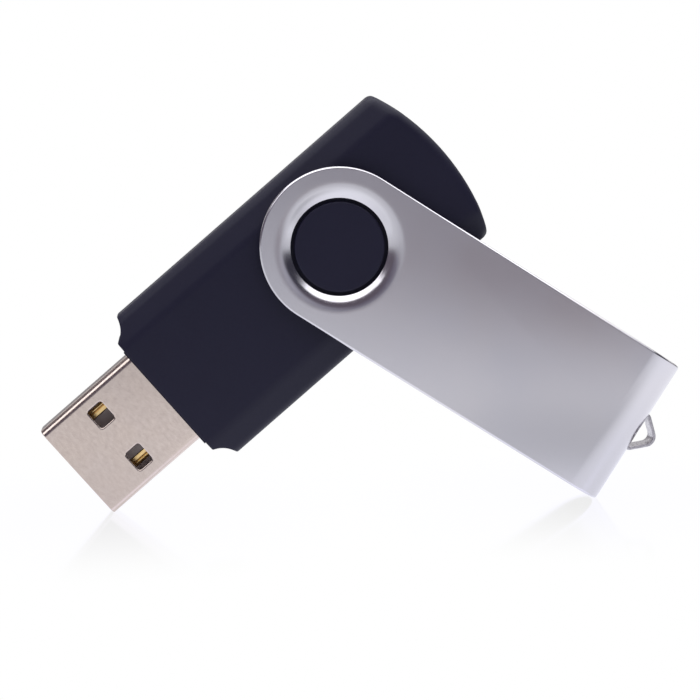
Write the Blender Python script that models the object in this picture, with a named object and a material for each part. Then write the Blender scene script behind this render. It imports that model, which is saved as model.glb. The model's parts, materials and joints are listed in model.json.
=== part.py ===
"""Swivel USB flash drive, as an assembly of separate pieces.

A plastic body in two halves holds a USB-A plug and its circuit board. A folded sheet-metal
clip turns on the two round bosses of the body and carries a lanyard loop in its closed end.
With the clip swung open, the drive stands on one corner of the plug and one of the clip.

Frames. The drive's frame has its origin where the swivel axis meets the middle plane, +Z along
that axis, +X towards the body's round end and the plug towards -X. The clip's frame shares the
origin and +Z, and its +X runs towards the clip's closed end. Two empties carry these frames.
"""
import math

import bmesh
import bpy
from mathutils import Matrix, Vector

MM = 0.001

# Clearances
FIT_GAP = 0.25 * MM
SEAM_GAP = 0.30 * MM
OVERRUN = 3.0 * MM

# Plug: a standard USB-A shell
PLUG_WIDTH = 12.0 * MM
PLUG_HEIGHT = 4.5 * MM
PLUG_SHEET = 0.30 * MM
PLUG_CORNER = 0.85 * MM
PLUG_TIP_X = -37.55 * MM
PLUG_REAR_X = -19.0 * MM
WINDOW_LENGTH = 2.0 * MM
WINDOW_WIDTH = 2.5 * MM
WINDOW_SETBACK = 5.16 * MM
WINDOW_Y = 3.08 * MM
TAB_LENGTH = 3.5 * MM
TAB_HALF_HEIGHT = 0.9 * MM

# Insulator and contacts
INSULATOR_WIDTH = PLUG_WIDTH - 2 * (PLUG_SHEET + FIT_GAP)
TONGUE_TIP_X = PLUG_TIP_X + 0.35 * MM
TONGUE_TOP = -0.15 * MM
BLOCK_FRONT_X = -25.5 * MM
GROOVE_DEPTH = 0.50 * MM
GROOVE_SIDE_GAP = 0.15 * MM
CONTACT_WIDTH = 1.0 * MM
CONTACT_THICKNESS = 0.28 * MM
CONTACT_BEVEL = 0.08 * MM
CONTACT_TOP = -0.12 * MM
CONTACT_OUTER_Y = 3.5 * MM
CONTACT_INNER_Y = 1.0 * MM
CONTACT_OUTER_SETBACK = 1.3 * MM
CONTACT_INNER_SETBACK = 2.3 * MM
CONTACT_TAIL_X = -16.5 * MM

# Body
BODY_HALF_WIDTH = 9.95 * MM
BODY_HALF_HEIGHT = 3.4 * MM
FACET_WIDTH = 3.0 * MM
FACET_TILT_DEG = 22.0
SHOULDER_RADIUS = 1.5 * MM
RIDGE_RADIUS = 3.0 * MM
BODY_FRONT_X = -24.85 * MM
BODY_REAR_X = 15.35 * MM
REAR_RADIUS = 26.0 * MM
REAR_CORNER = 0.5 * MM
TOOTH_SIDE_X = -23.1 * MM
TOOTH_FRONT_Y = 7.75 * MM
SCALLOP_RADIUS = 2.8 * MM
BEZEL_HALF_WIDTH = 6.6 * MM
BEZEL_REACH = 0.15 * MM
WALL = 1.2 * MM
ROOF = 0.9 * MM
CAVITY_SIDE_LAND = 0.7 * MM
CAVITY_CROWN = 3.8 * MM
CAVITY_CORNER_X = 2.05 * MM
CAVITY_CORNER_Y = 1.85 * MM

# Bosses that the clip turns on
BOSS_RADIUS = 4.88 * MM
BOSS_TOP = 4.55 * MM
BOSS_CHAMFER = 0.2 * MM

# Clip: one folded strip of sheet metal
CLIP_SHEET = 0.60 * MM
CLIP_HALF_WIDTH = 8.66 * MM
CLIP_LENGTH = 39.75 * MM
CLIP_HALF_HEIGHT = 5.0 * MM
CLIP_BEND_RADIUS = 4.5 * MM
CLIP_EDGE = 0.2 * MM
LIP_EDGE = 0.05 * MM
CLIP_OPEN_DEG = -73.06
HOLE_RADIUS = 5.18 * MM
DISH_RADIUS = 7.0 * MM
DISH_ROLL_RADIUS = 2.2 * MM
DISH_SLOPE_DEG = 29.0
DISH_STEPS = 4

# Lanyard loop: a bent strip whose feet hold it in a slot
LOOP_SHEET = 0.35 * MM
LOOP_WIDTH = 2.6 * MM
LOOP_HALF_SPAN = 2.15 * MM
LOOP_FOOT_HALF_SPAN = 4.4 * MM
LOOP_LEG_DEG = 48.0
LOOP_APEX_RADIUS = 1.0 * MM
LOOP_BEND_RADIUS = 0.45 * MM
LOOP_SIDE_SHIFT = 0.15 * MM
LOOP_KNEE_REACH = 0.1 * MM
LOOP_FOOT_GAP = 0.35 * MM

# Circuit board
BOARD_TOP = -0.6 * MM
BOARD_THICKNESS = 0.8 * MM
BOARD_FRONT_X = -18.6 * MM
BOARD_STEP_X = -15.0 * MM
BOARD_REAR_X = 9.6 * MM
BOARD_HALF_WIDTH = 7.25 * MM
BOARD_NOSE_HALF_WIDTH = 5.4 * MM
BOARD_CORNER = 0.4 * MM
SOLDER_GAP = 0.10 * MM

# What is soldered to the board: size, then x and y for each one
FLASH_SIZE = (18.0 * MM, 12.0 * MM, 1.0 * MM)
FLASH_PLACE = (-1.5 * MM, 0.0)
CONTROLLER_SIZE = (6.0 * MM, 6.0 * MM, 0.75 * MM)
CONTROLLER_PLACE = (-6.5 * MM, 0.0)
CRYSTAL_SIZE = (3.2 * MM, 2.5 * MM, 0.7 * MM)
CRYSTAL_PLACE = (0.5 * MM, 0.0)
LED_SIZE = (0.8 * MM, 1.6 * MM, 0.6 * MM)
LED_PLACE = (8.6 * MM, 0.0)
FERRITE_SIZE = (1.6 * MM, 0.8 * MM, 0.8 * MM)
FERRITE_PLACE = (-13.4 * MM, 3.5 * MM)
CAPACITOR_SIZE = (1.0 * MM, 0.5 * MM, 0.5 * MM)
CAPACITOR_PLACES = (
    (-11.2 * MM, 2.2 * MM),
    (-11.2 * MM, -2.2 * MM),
    (3.6 * MM, 2.4 * MM),
    (3.6 * MM, -2.4 * MM),
)
RESISTOR_SIZE = (1.0 * MM, 0.5 * MM, 0.35 * MM)
RESISTOR_PLACES = ((-13.4 * MM, 1.0 * MM), (-13.4 * MM, -1.0 * MM), (8.6 * MM, 3.2 * MM))
CHIP_BEVEL = 0.12 * MM
SMALL_BEVEL = 0.06 * MM

# Pegs, sockets and board rests inside the body: x, y and depth of the root
PEG_PLACES = (
    (-21.8 * MM, 7.3 * MM, 2.45 * MM),
    (11.2 * MM, 6.2 * MM, 2.80 * MM),
)
PEG_POST_RADIUS = 1.1 * MM
PEG_RADIUS = 0.55 * MM
PEG_REACH = 1.2 * MM
PEG_SHOULDER = 0.4 * MM
SOCKET_RADIUS = 0.85 * MM
SOCKET_DEPTH = 1.6 * MM
REST_ROOT = 2.65 * MM
REST_X = (-13.0 * MM, 8.0 * MM)
REST_Y = 6.75 * MM
REST_LENGTH = 1.6 * MM
REST_WIDTH = 0.8 * MM
REST_GAP = 0.2 * MM

# Facets
RING_STEPS = 48
POST_STEPS = 16
BEND_STEPS = 8
BOW_STEPS = 16
CROWN_STEPS = 8
SMOOTH_ANGLE = math.radians(35.0)
WELD_DISTANCE = 0.01 * MM

# Finishes: base colour, roughness, metallic
SOFT_BLACK = ((0.014, 0.014, 0.022), 0.55, 0.0)
SATIN_METAL = ((0.55, 0.54, 0.57), 0.35, 1.0)
NICKEL = ((0.62, 0.57, 0.53), 0.30, 1.0)
WIRE_STEEL = ((0.40, 0.39, 0.42), 0.40, 1.0)
WARM_PLASTIC = ((0.40, 0.34, 0.325), 0.60, 0.0)
GOLD = ((0.80, 0.58, 0.25), 0.30, 1.0)
BOARD_GREEN = ((0.02, 0.12, 0.05), 0.45, 0.0)
EPOXY_BLACK = ((0.02, 0.02, 0.02), 0.50, 0.0)
CAN_METAL = ((0.70, 0.70, 0.68), 0.30, 1.0)
CERAMIC_TAN = ((0.45, 0.32, 0.20), 0.50, 0.0)
CERAMIC_BLACK = ((0.03, 0.03, 0.035), 0.40, 0.0)
FERRITE_GREY = ((0.15, 0.15, 0.15), 0.50, 0.0)
LED_CLEAR = ((0.75, 0.78, 0.70), 0.20, 0.0)


# ---- Outlines: plain 2-D points

def arc(center, radius, start_deg, end_deg, steps):
    """Points on an arc, both ends included."""
    points = []
    for step in range(steps + 1):
        angle = math.radians(start_deg + (end_deg - start_deg) * step / steps)
        points.append((center[0] + radius * math.cos(angle), center[1] + radius * math.sin(angle)))
    return points


def hollow_arc(start, end, radius, steps):
    """Points of the arc from start to end that bows into a counter-clockwise outline."""
    a = Vector(start)
    b = Vector(end)
    chord = b - a
    right = Vector((chord.y, -chord.x)).normalized()
    center = (a + b) / 2 + right * math.sqrt(radius ** 2 - (chord.length / 2) ** 2)
    start_angle = math.degrees(math.atan2(a.y - center.y, a.x - center.x))
    end_angle = math.degrees(math.atan2(b.y - center.y, b.x - center.x))
    if end_angle > start_angle:
        end_angle -= 360.0
    return arc(center, radius, start_angle, end_angle, steps)


def rounded_corner(before, corner, after, radius, steps):
    """Points of the fillet that replaces one corner of an outline or a path."""
    corner = Vector(corner)
    back = (Vector(before) - corner).normalized()
    ahead = (Vector(after) - corner).normalized()
    half_angle = back.angle(ahead) / 2
    center = corner + (back + ahead).normalized() * (radius / math.sin(half_angle))
    reach = radius / math.tan(half_angle)
    first = corner + back * reach - center
    sweep = math.pi - 2 * half_angle
    turn = -sweep if back.cross(ahead) > 0 else sweep
    points = []
    for step in range(steps + 1):
        spoke = Matrix.Rotation(turn * step / steps, 2) @ first
        points.append(tuple(center + spoke))
    return points


def rectangle(half_x, half_y):
    return [(-half_x, -half_y), (half_x, -half_y), (half_x, half_y), (-half_x, half_y)]


def rounded_outline(corners, radius, steps):
    """A closed outline with every corner rounded alike."""
    points = []
    for index, corner in enumerate(corners):
        after = corners[(index + 1) % len(corners)]
        points += rounded_corner(corners[index - 1], corner, after, radius, steps)
    return points


def ribbon_outline(path, thickness):
    """The outline of a strip of even thickness that follows an open path."""
    left_side = []
    right_side = []
    for index, point in enumerate(path):
        here = Vector(point)
        into = (here - Vector(path[index - 1])).normalized() if index else None
        out = (Vector(path[index + 1]) - here).normalized() if index + 1 < len(path) else None
        along = ((into or out) + (out or into)).normalized()
        normal = Vector((-along.y, along.x))
        reach = thickness / 2 / normal.dot(Vector((-(out or into).y, (out or into).x)))
        left_side.append(tuple(here + normal * reach))
        right_side.append(tuple(here - normal * reach))
    return left_side + right_side[::-1]


# ---- Solids, as bmeshes

def loft(rings):
    """A closed solid through rings of equal point counts, with a flat cap at each end."""
    bm = bmesh.new()
    loops = [[bm.verts.new(point) for point in ring] for ring in rings]
    for low, high in zip(loops, loops[1:]):
        for index in range(len(low)):
            after = (index + 1) % len(low)
            bm.faces.new((low[index], low[after], high[after], high[index]))
    bm.faces.new(loops[0][::-1])
    bm.faces.new(loops[-1])
    bmesh.ops.recalc_face_normals(bm, faces=bm.faces)
    return bm


def upright_prism(outline, low, high):
    """An outline in X and Y, extruded along Z."""
    return loft([[(x, y, z) for x, y in outline] for z in (low, high)])


def lengthwise_prism(section, start, end):
    """A section in Y and Z, extruded along X."""
    return loft([[(x, y, z) for y, z in section] for x in (start, end)])


def turned(profile, center=(0.0, 0.0), steps=RING_STEPS):
    """A solid of revolution about an axis along Z, from (radius, height) points."""
    rings = []
    for radius, height in profile:
        ring = arc(center, radius, 0.0, 360.0, steps)[:-1]
        rings.append([(x, y, height) for x, y in ring])
    return loft(rings)


def block(center, size, bevel=0.0):
    """A box, with its edges bevelled where a width is given."""
    bm = bmesh.new()
    bmesh.ops.create_cube(bm, size=1.0)
    bmesh.ops.scale(bm, vec=size, verts=bm.verts)
    if bevel:
        bmesh.ops.bevel(bm, geom=bm.edges, offset=bevel, segments=1, affect="EDGES")
    bmesh.ops.translate(bm, vec=center, verts=bm.verts)
    return bm


# ---- Objects, materials and modifiers

def clear_scene():
    for item in list(bpy.data.objects):
        bpy.data.objects.remove(item, do_unlink=True)


def add_empty(name, location, rotation, parent=None):
    empty = bpy.data.objects.new(name, None)
    empty.location = location
    empty.rotation_euler = rotation
    empty.parent = parent
    bpy.context.scene.collection.objects.link(empty)
    return empty


def add_object(name, bm, parent, location=(0.0, 0.0, 0.0)):
    mesh = bpy.data.meshes.new(name)
    bm.to_mesh(mesh)
    bm.free()
    item = bpy.data.objects.new(name, mesh)
    item.parent = parent
    item.location = location
    bpy.context.scene.collection.objects.link(item)
    return item


def add_part(name, bm, finish, parent, location=(0.0, 0.0, 0.0)):
    """One piece of the assembly, with its own material."""
    color, roughness, metallic = finish
    material = bpy.data.materials.new(name)
    material.use_nodes = True
    shader = material.node_tree.nodes["Principled BSDF"]
    shader.inputs["Base Color"].default_value = (*color, 1.0)
    shader.inputs["Roughness"].default_value = roughness
    shader.inputs["Metallic"].default_value = metallic
    part = add_object(name, bm, parent, location)
    part.data.materials.append(material)
    part.data.shade_smooth()
    part.data.set_sharp_from_angle(angle=SMOOTH_ANGLE)
    return part


def add_tool(name, bm, parent):
    """A guide solid that only shapes other pieces."""
    tool = add_object(name, bm, parent)
    tool.hide_render = True
    tool.display_type = "WIRE"
    return tool


def combine(part, tool, operation):
    modifier = part.modifiers.new(tool.name, "BOOLEAN")
    modifier.operation = operation
    modifier.solver = "EXACT"
    modifier.object = tool


# ---- Stance: the open drive stands on two corners

def turn(point, degrees):
    return Matrix.Rotation(math.radians(degrees), 2) @ Vector(point)


def clip_corner(side):
    """Where the edge bevel leaves a corner of the closed end, in the clip's frame."""
    return (CLIP_LENGTH - CLIP_EDGE, side * CLIP_HALF_WIDTH)


def stance():
    """The lean of the drive's +X in degrees, and the place of the swivel axis."""
    plug_foot = Vector((PLUG_TIP_X, -PLUG_WIDTH / 2))
    clip_foot = turn(clip_corner(-1), CLIP_OPEN_DEG)
    base_line = clip_foot - plug_foot
    lean = -math.degrees(math.atan2(base_line.y, base_line.x))
    left_end = turn((PLUG_TIP_X, PLUG_WIDTH / 2), lean).x
    clip_end = (CLIP_LENGTH, CLIP_HALF_WIDTH - CLIP_EDGE)
    right_end = turn(clip_end, CLIP_OPEN_DEG + lean).x
    height = -turn(plug_foot, lean).y
    return lean, (-(left_end + right_end) / 2, 0.0, height)


# ---- Body

def body_outline():
    """Plan of the body: straight sides, a bowed rear end, scalloped front corners and a bezel."""
    rear_center = (BODY_REAR_X - REAR_RADIUS, 0.0)
    swing = math.degrees(math.asin(BODY_HALF_WIDTH / REAR_RADIUS))
    bow = arc(rear_center, REAR_RADIUS, -swing, swing, BOW_STEPS)
    low_side = (TOOTH_SIDE_X, -BODY_HALF_WIDTH)
    high_side = (TOOTH_SIDE_X, BODY_HALF_WIDTH)
    low_front = (BODY_FRONT_X, -TOOTH_FRONT_Y)
    high_front = (BODY_FRONT_X, TOOTH_FRONT_Y)
    outline = hollow_arc(low_front, low_side, SCALLOP_RADIUS, 5)
    outline += rounded_corner(low_side, bow[0], bow[1], REAR_CORNER, 4)
    outline += bow[1:-1]
    outline += rounded_corner(bow[-2], bow[-1], high_side, REAR_CORNER, 4)
    outline += hollow_arc(high_side, high_front, SCALLOP_RADIUS, 5)
    bezel_x = BODY_FRONT_X - BEZEL_REACH
    outline += [(BODY_FRONT_X, BEZEL_HALF_WIDTH), (bezel_x, BEZEL_HALF_WIDTH)]
    outline += [(bezel_x, -BEZEL_HALF_WIDTH), (BODY_FRONT_X, -BEZEL_HALF_WIDTH)]
    return outline


def cavity_outline():
    front = BODY_FRONT_X + WALL
    side = BODY_HALF_WIDTH - WALL
    radius = REAR_RADIUS - WALL
    swing = math.degrees(math.asin(side / radius))
    outline = arc((BODY_REAR_X - REAR_RADIUS, 0.0), radius, -swing, swing, BOW_STEPS)
    outline.append((front + CAVITY_CORNER_X, side))
    outline.append((front, side - CAVITY_CORNER_Y))
    outline.append((front, -side + CAVITY_CORNER_Y))
    outline.append((front + CAVITY_CORNER_X, -side))
    return outline


def shell_section():
    """Up one side, over its shoulder and its sloping facet, across the flat top and down again."""
    facet_rise = FACET_WIDTH * math.tan(math.radians(FACET_TILT_DEG))
    foot = (BODY_HALF_WIDTH, SEAM_GAP / 2)
    shoulder = (BODY_HALF_WIDTH, BODY_HALF_HEIGHT - facet_rise)
    ridge = (BODY_HALF_WIDTH - FACET_WIDTH, BODY_HALF_HEIGHT)
    half = [foot]
    half += rounded_corner(foot, shoulder, ridge, SHOULDER_RADIUS, 5)
    half += rounded_corner(shoulder, ridge, (0.0, BODY_HALF_HEIGHT), RIDGE_RADIUS, 2)
    return half + [(-y, z) for y, z in reversed(half)]


def cavity_section():
    """An oval section, taller in the middle, with short upright lands at its sides."""
    half_width = BODY_HALF_WIDTH - WALL
    rise = BODY_HALF_HEIGHT - ROOF - CAVITY_SIDE_LAND
    half = []
    for step in range(CROWN_STEPS + 1):
        angle = math.radians(90.0 * step / CROWN_STEPS)
        y = half_width - CAVITY_CROWN * (1.0 - math.cos(angle))
        half.append((y, CAVITY_SIDE_LAND + rise * math.sin(angle)))
    top = half + [(-y, z) for y, z in reversed(half)]
    return top + [(-y, -z) for y, z in top]


def flip(bm, side):
    """Turns a solid made for the upper half over into the lower half."""
    if side < 0:
        bmesh.ops.rotate(bm, cent=(0, 0, 0), matrix=Matrix.Rotation(math.pi, 3, "X"), verts=bm.verts)
    return bm


def add_body_tools(frame):
    tools = {}
    tall = 2 * CLIP_HALF_HEIGHT
    tools["plan"] = add_tool("plan_guide", upright_prism(body_outline(), -tall, tall), frame)
    tools["cavity"] = add_tool("cavity_guide", upright_prism(cavity_outline(), -tall, tall), frame)
    section = lengthwise_prism(cavity_section(), BODY_FRONT_X - OVERRUN, BODY_REAR_X + OVERRUN)
    combine(tools["cavity"], add_tool("cavity_section", section, frame), "INTERSECT")
    mouth = (WALL + 2 * OVERRUN, PLUG_WIDTH + 2 * FIT_GAP, PLUG_HEIGHT + 2 * FIT_GAP)
    tools["mouth"] = add_tool("plug_mouth", block((BODY_FRONT_X, 0, 0), mouth), frame)
    return tools


def add_rests(shell, side, frame):
    """Pads that hold the board between the two halves."""
    face = BOARD_TOP if side > 0 else BOARD_TOP - BOARD_THICKNESS
    tip = side * face + REST_GAP
    for number, x in enumerate(REST_X):
        for hand in (-1, 1):
            center = (x, hand * REST_Y, side * (REST_ROOT + tip) / 2)
            pad = block(center, (REST_LENGTH, REST_WIDTH, REST_ROOT - tip))
            combine(shell, add_tool(f"{shell.name}_rest_{number}_{hand}", pad, frame), "UNION")


def add_pegs(shell, side, frame):
    """Pegs on the upper half, and posts with sockets for them on the lower half."""
    for number, (x, y, root) in enumerate(PEG_PLACES):
        for hand in (-1, 1):
            center = (x, hand * y)
            tag = f"{shell.name}_{number}_{hand}"
            profile = [(PEG_POST_RADIUS, side * root), (PEG_POST_RADIUS, side * PEG_SHOULDER)]
            if side > 0:
                profile += [(PEG_RADIUS, PEG_SHOULDER), (PEG_RADIUS, -PEG_REACH)]
            post = add_tool(f"post_{tag}", turned(profile, center, POST_STEPS), frame)
            combine(shell, post, "UNION")
            if side < 0:
                walls = [(SOCKET_RADIUS, -SOCKET_DEPTH), (SOCKET_RADIUS, 0.0)]
                hole = turned(walls, center, POST_STEPS)
                combine(shell, add_tool(f"socket_{tag}", hole, frame), "DIFFERENCE")


def add_shell(name, side, tools, frame):
    """One half of the body, with its boss, pegs and board rests."""
    form = lengthwise_prism(shell_section(), BODY_FRONT_X - OVERRUN, BODY_REAR_X + OVERRUN)
    shell = add_part(name, flip(form, side), SOFT_BLACK, frame)
    combine(shell, tools["plan"], "INTERSECT")
    combine(shell, tools["cavity"], "DIFFERENCE")
    combine(shell, tools["mouth"], "DIFFERENCE")
    boss = turned([
        (BOSS_RADIUS, BODY_HALF_HEIGHT - ROOF / 2),
        (BOSS_RADIUS, BOSS_TOP - BOSS_CHAMFER),
        (BOSS_RADIUS - BOSS_CHAMFER, BOSS_TOP),
    ])
    combine(shell, add_tool(f"{name}_boss", flip(boss, side), frame), "UNION")
    add_rests(shell, side, frame)
    add_pegs(shell, side, frame)


# ---- Plug

def tube_ring(half_width, half_height, radius):
    """Section of the plug's tube, with a point on each side where a solder tab starts and ends."""
    points = []
    corners = rectangle(half_width, half_height)
    for index, corner in enumerate(corners):
        after = corners[(index + 1) % 4]
        points += rounded_corner(corners[index - 1], corner, after, radius, 3)
        if index in (1, 3):
            hand = 1 if index == 1 else -1
            points.append((hand * half_width, -hand * TAB_HALF_HEIGHT))
            points.append((hand * half_width, hand * TAB_HALF_HEIGHT))
    return points


def plug_tube():
    """The folded tube, open at both ends, with a solder tab behind each side."""
    outer = tube_ring(PLUG_WIDTH / 2, PLUG_HEIGHT / 2, PLUG_CORNER)
    inner_size = (PLUG_WIDTH / 2 - PLUG_SHEET, PLUG_HEIGHT / 2 - PLUG_SHEET)
    inner = tube_ring(*inner_size, PLUG_CORNER - PLUG_SHEET)
    stations = ((outer, PLUG_TIP_X), (outer, PLUG_REAR_X), (inner, PLUG_REAR_X), (inner, PLUG_TIP_X))
    bm = bmesh.new()
    loops = [[bm.verts.new((x, y, z)) for y, z in ring] for ring, x in stations]
    count = len(outer)
    tabs = []
    for index, loop in enumerate(loops):
        after = loops[(index + 1) % 4]
        for step in range(count):
            turn_on = (step + 1) % count
            face = bm.faces.new((loop[step], loop[turn_on], after[turn_on], after[step]))
            on_side = abs(outer[step][0]) == abs(outer[turn_on][0]) == PLUG_WIDTH / 2
            middle = abs(outer[step][1] + outer[turn_on][1]) < PLUG_SHEET
            if index == 1 and on_side and middle:
                tabs.append(face)
    bmesh.ops.recalc_face_normals(bm, faces=bm.faces)
    for face in bmesh.ops.extrude_discrete_faces(bm, faces=tabs)["faces"]:
        bmesh.ops.translate(bm, vec=(TAB_LENGTH, 0, 0), verts=face.verts)
    return bm


def add_plug_shell(frame):
    shell = add_part("plug_shell", plug_tube(), NICKEL, frame)
    center_x = PLUG_TIP_X + WINDOW_SETBACK + WINDOW_LENGTH / 2
    for number, hand in enumerate((-1, 1)):
        size = (WINDOW_LENGTH, WINDOW_WIDTH, 2 * PLUG_HEIGHT)
        window = block((center_x, hand * WINDOW_Y, 0), size)
        combine(shell, add_tool(f"plug_window_{number}", window, frame), "DIFFERENCE")


def add_insulator(frame):
    """A tongue under the contacts and a full block behind it, grooved for the contacts."""
    rear = PLUG_REAR_X - FIT_GAP
    half_height = PLUG_HEIGHT / 2 - PLUG_SHEET - FIT_GAP
    side_view = [
        (TONGUE_TIP_X, -half_height), (rear, -half_height), (rear, half_height),
        (BLOCK_FRONT_X, half_height), (BLOCK_FRONT_X, TONGUE_TOP), (TONGUE_TIP_X, TONGUE_TOP),
    ]
    half = INSULATOR_WIDTH / 2
    form = loft([[(x, y, z) for x, z in side_view] for y in (-half, half)])
    insulator = add_part("plug_insulator", form, WARM_PLASTIC, frame)
    length = rear - TONGUE_TIP_X
    for number, (y, setback) in enumerate(contact_places()):
        start = PLUG_TIP_X + setback - GROOVE_SIDE_GAP
        end = rear + OVERRUN
        depth = GROOVE_DEPTH + GROOVE_SIDE_GAP
        center = ((start + end) / 2, y, TONGUE_TOP + GROOVE_SIDE_GAP - depth / 2)
        groove = block(center, (end - start, CONTACT_WIDTH + 2 * GROOVE_SIDE_GAP, depth))
        combine(insulator, add_tool(f"contact_groove_{number}", groove, frame), "DIFFERENCE")


def contact_places():
    """Cross position and setback from the plug's tip, in the order of CONTACT_NAMES."""
    return (
        (CONTACT_OUTER_Y, CONTACT_OUTER_SETBACK),
        (CONTACT_INNER_Y, CONTACT_INNER_SETBACK),
        (-CONTACT_INNER_Y, CONTACT_INNER_SETBACK),
        (-CONTACT_OUTER_Y, CONTACT_OUTER_SETBACK),
    )


CONTACT_NAMES = ("contact_power", "contact_data_minus", "contact_data_plus", "contact_ground")


def add_contacts(frame):
    for name, (y, setback) in zip(CONTACT_NAMES, contact_places()):
        start = PLUG_TIP_X + setback
        center = ((start + CONTACT_TAIL_X) / 2, y, CONTACT_TOP - CONTACT_THICKNESS / 2)
        size = (CONTACT_TAIL_X - start, CONTACT_WIDTH, CONTACT_THICKNESS)
        add_part(name, block(center, size, CONTACT_BEVEL), GOLD, frame)


# ---- Circuit board and what is soldered to it

def add_board(frame):
    corners = [
        (BOARD_FRONT_X, -BOARD_NOSE_HALF_WIDTH), (BOARD_STEP_X, -BOARD_NOSE_HALF_WIDTH),
        (BOARD_STEP_X, -BOARD_HALF_WIDTH), (BOARD_REAR_X, -BOARD_HALF_WIDTH),
    ]
    outline = corners + [(x, -y) for x, y in reversed(corners)]
    outline = rounded_outline(outline, BOARD_CORNER, 2)
    form = upright_prism(outline, BOARD_TOP - BOARD_THICKNESS, BOARD_TOP)
    add_part("circuit_board", form, BOARD_GREEN, frame)


def mount_on_board(name, finish, size, place, side, bevel, frame):
    """A component whose terminals stand a solder film off the board, on its top or underside."""
    surface = BOARD_TOP if side > 0 else BOARD_TOP - BOARD_THICKNESS
    z = surface + side * (SOLDER_GAP + size[2] / 2)
    add_part(name, block((0, 0, 0), size, bevel), finish, frame, location=(*place, z))


def add_board_components(frame):
    mount_on_board("flash_chip", EPOXY_BLACK, FLASH_SIZE, FLASH_PLACE, 1, CHIP_BEVEL, frame)
    mount_on_board(
        "controller_chip", EPOXY_BLACK, CONTROLLER_SIZE, CONTROLLER_PLACE, -1, CHIP_BEVEL, frame)
    mount_on_board("crystal", CAN_METAL, CRYSTAL_SIZE, CRYSTAL_PLACE, -1, CHIP_BEVEL, frame)
    mount_on_board("status_led", LED_CLEAR, LED_SIZE, LED_PLACE, 1, SMALL_BEVEL, frame)
    mount_on_board("ferrite_bead", FERRITE_GREY, FERRITE_SIZE, FERRITE_PLACE, 1, SMALL_BEVEL, frame)
    for number, place in enumerate(CAPACITOR_PLACES, start=1):
        name = f"capacitor_{number}"
        mount_on_board(name, CERAMIC_TAN, CAPACITOR_SIZE, place, -1, SMALL_BEVEL, frame)
    for number, place in enumerate(RESISTOR_PLACES, start=1):
        name = f"resistor_{number}"
        mount_on_board(name, CERAMIC_BLACK, RESISTOR_SIZE, place, 1, SMALL_BEVEL, frame)


# ---- Clip and lanyard loop

def head_point(angle_deg):
    """A point on the clip's head: a half disc, then square shoulders as far as the half width."""
    angle = math.radians(angle_deg)
    cosine = math.cos(angle)
    sine = math.sin(angle)
    if cosine <= 0:
        return (CLIP_HALF_WIDTH * cosine, CLIP_HALF_WIDTH * sine)
    reach = CLIP_HALF_WIDTH / max(cosine, abs(sine))
    return (reach * cosine, reach * sine)


def dish_profile():
    """Outer surface of the pressed dish, as (radius, height): rolled off the plate, then a cone."""
    center = (DISH_RADIUS, CLIP_HALF_HEIGHT - DISH_ROLL_RADIUS)
    profile = arc(center, DISH_ROLL_RADIUS, 90.0, 90.0 + DISH_SLOPE_DEG, DISH_STEPS)
    radius, height = profile[-1]
    drop = (radius - HOLE_RADIUS) * math.tan(math.radians(DISH_SLOPE_DEG))
    return profile + [(HOLE_RADIUS, height - drop)]


def clip_skin():
    """Outer skin of the clip: a plate with its dished hole and half of the end bend, then mirrored."""
    bm = bmesh.new()
    angles = [360.0 * step / RING_STEPS for step in range(RING_STEPS)]
    rings = [[bm.verts.new((*head_point(angle), CLIP_HALF_HEIGHT)) for angle in angles]]
    for radius, height in dish_profile():
        circle = arc((0.0, 0.0), radius, 0.0, 360.0, RING_STEPS)[:-1]
        rings.append([bm.verts.new((x, y, height)) for x, y in circle])
    for outer, inner in zip(rings, rings[1:]):
        for step in range(RING_STEPS):
            after = (step + 1) % RING_STEPS
            bm.faces.new((outer[step], outer[after], inner[after], inner[step]))
    bend_x = CLIP_LENGTH - CLIP_BEND_RADIUS
    bend_z = CLIP_HALF_HEIGHT - CLIP_BEND_RADIUS
    side_view = arc((bend_x, bend_z), CLIP_BEND_RADIUS, 90.0, 0.0, BEND_STEPS) + [(CLIP_LENGTH, 0.0)]
    rows = [
        [bm.verts.new((x, side * CLIP_HALF_WIDTH, z)) for side in (-1, 1)]
        for x, z in side_view
    ]
    eighth = RING_STEPS // 8
    shoulder = [rings[0][step % RING_STEPS] for step in range(-eighth, eighth + 1)]
    bm.faces.new((*reversed(shoulder), *rows[0]))
    for near, far in zip(rows, rows[1:]):
        bm.faces.new((near[0], far[0], far[1], near[1]))
    everything = bm.verts[:] + bm.edges[:] + bm.faces[:]
    bmesh.ops.mirror(bm, geom=everything, axis="Z", merge_dist=WELD_DISTANCE)
    bmesh.ops.recalc_face_normals(bm, faces=bm.faces)
    mark_edges(bm)
    return bm


def mark_edges(bm):
    """Bevel weights: the outline's edge is rounded in full, and the lip of each hole hardly at all."""
    weight = bm.edges.layers.float.new("bevel_weight_edge")
    for edge in bm.edges:
        if edge.is_boundary:
            on_lip = edge.verts[0].co.xy.length < DISH_RADIUS
            edge[weight] = LIP_EDGE / CLIP_EDGE if on_lip else 1.0


def add_clip(pivot):
    clip = add_part("swivel_clip", clip_skin(), SATIN_METAL, pivot)
    sheet = clip.modifiers.new("sheet", "SOLIDIFY")
    sheet.thickness = CLIP_SHEET
    sheet.offset = -1.0
    sheet.use_even_offset = True
    edge = clip.modifiers.new("edge", "BEVEL")
    edge.width = CLIP_EDGE
    edge.segments = 1
    edge.limit_method = "WEIGHT"
    slot_size = (2 * OVERRUN, 2 * LOOP_HALF_SPAN + LOOP_SHEET + 2 * FIT_GAP, LOOP_WIDTH + 2 * FIT_GAP)
    slot = block((CLIP_LENGTH, LOOP_SIDE_SHIFT, 0.0), slot_size)
    combine(clip, add_tool("loop_slot", slot, pivot), "DIFFERENCE")


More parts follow.
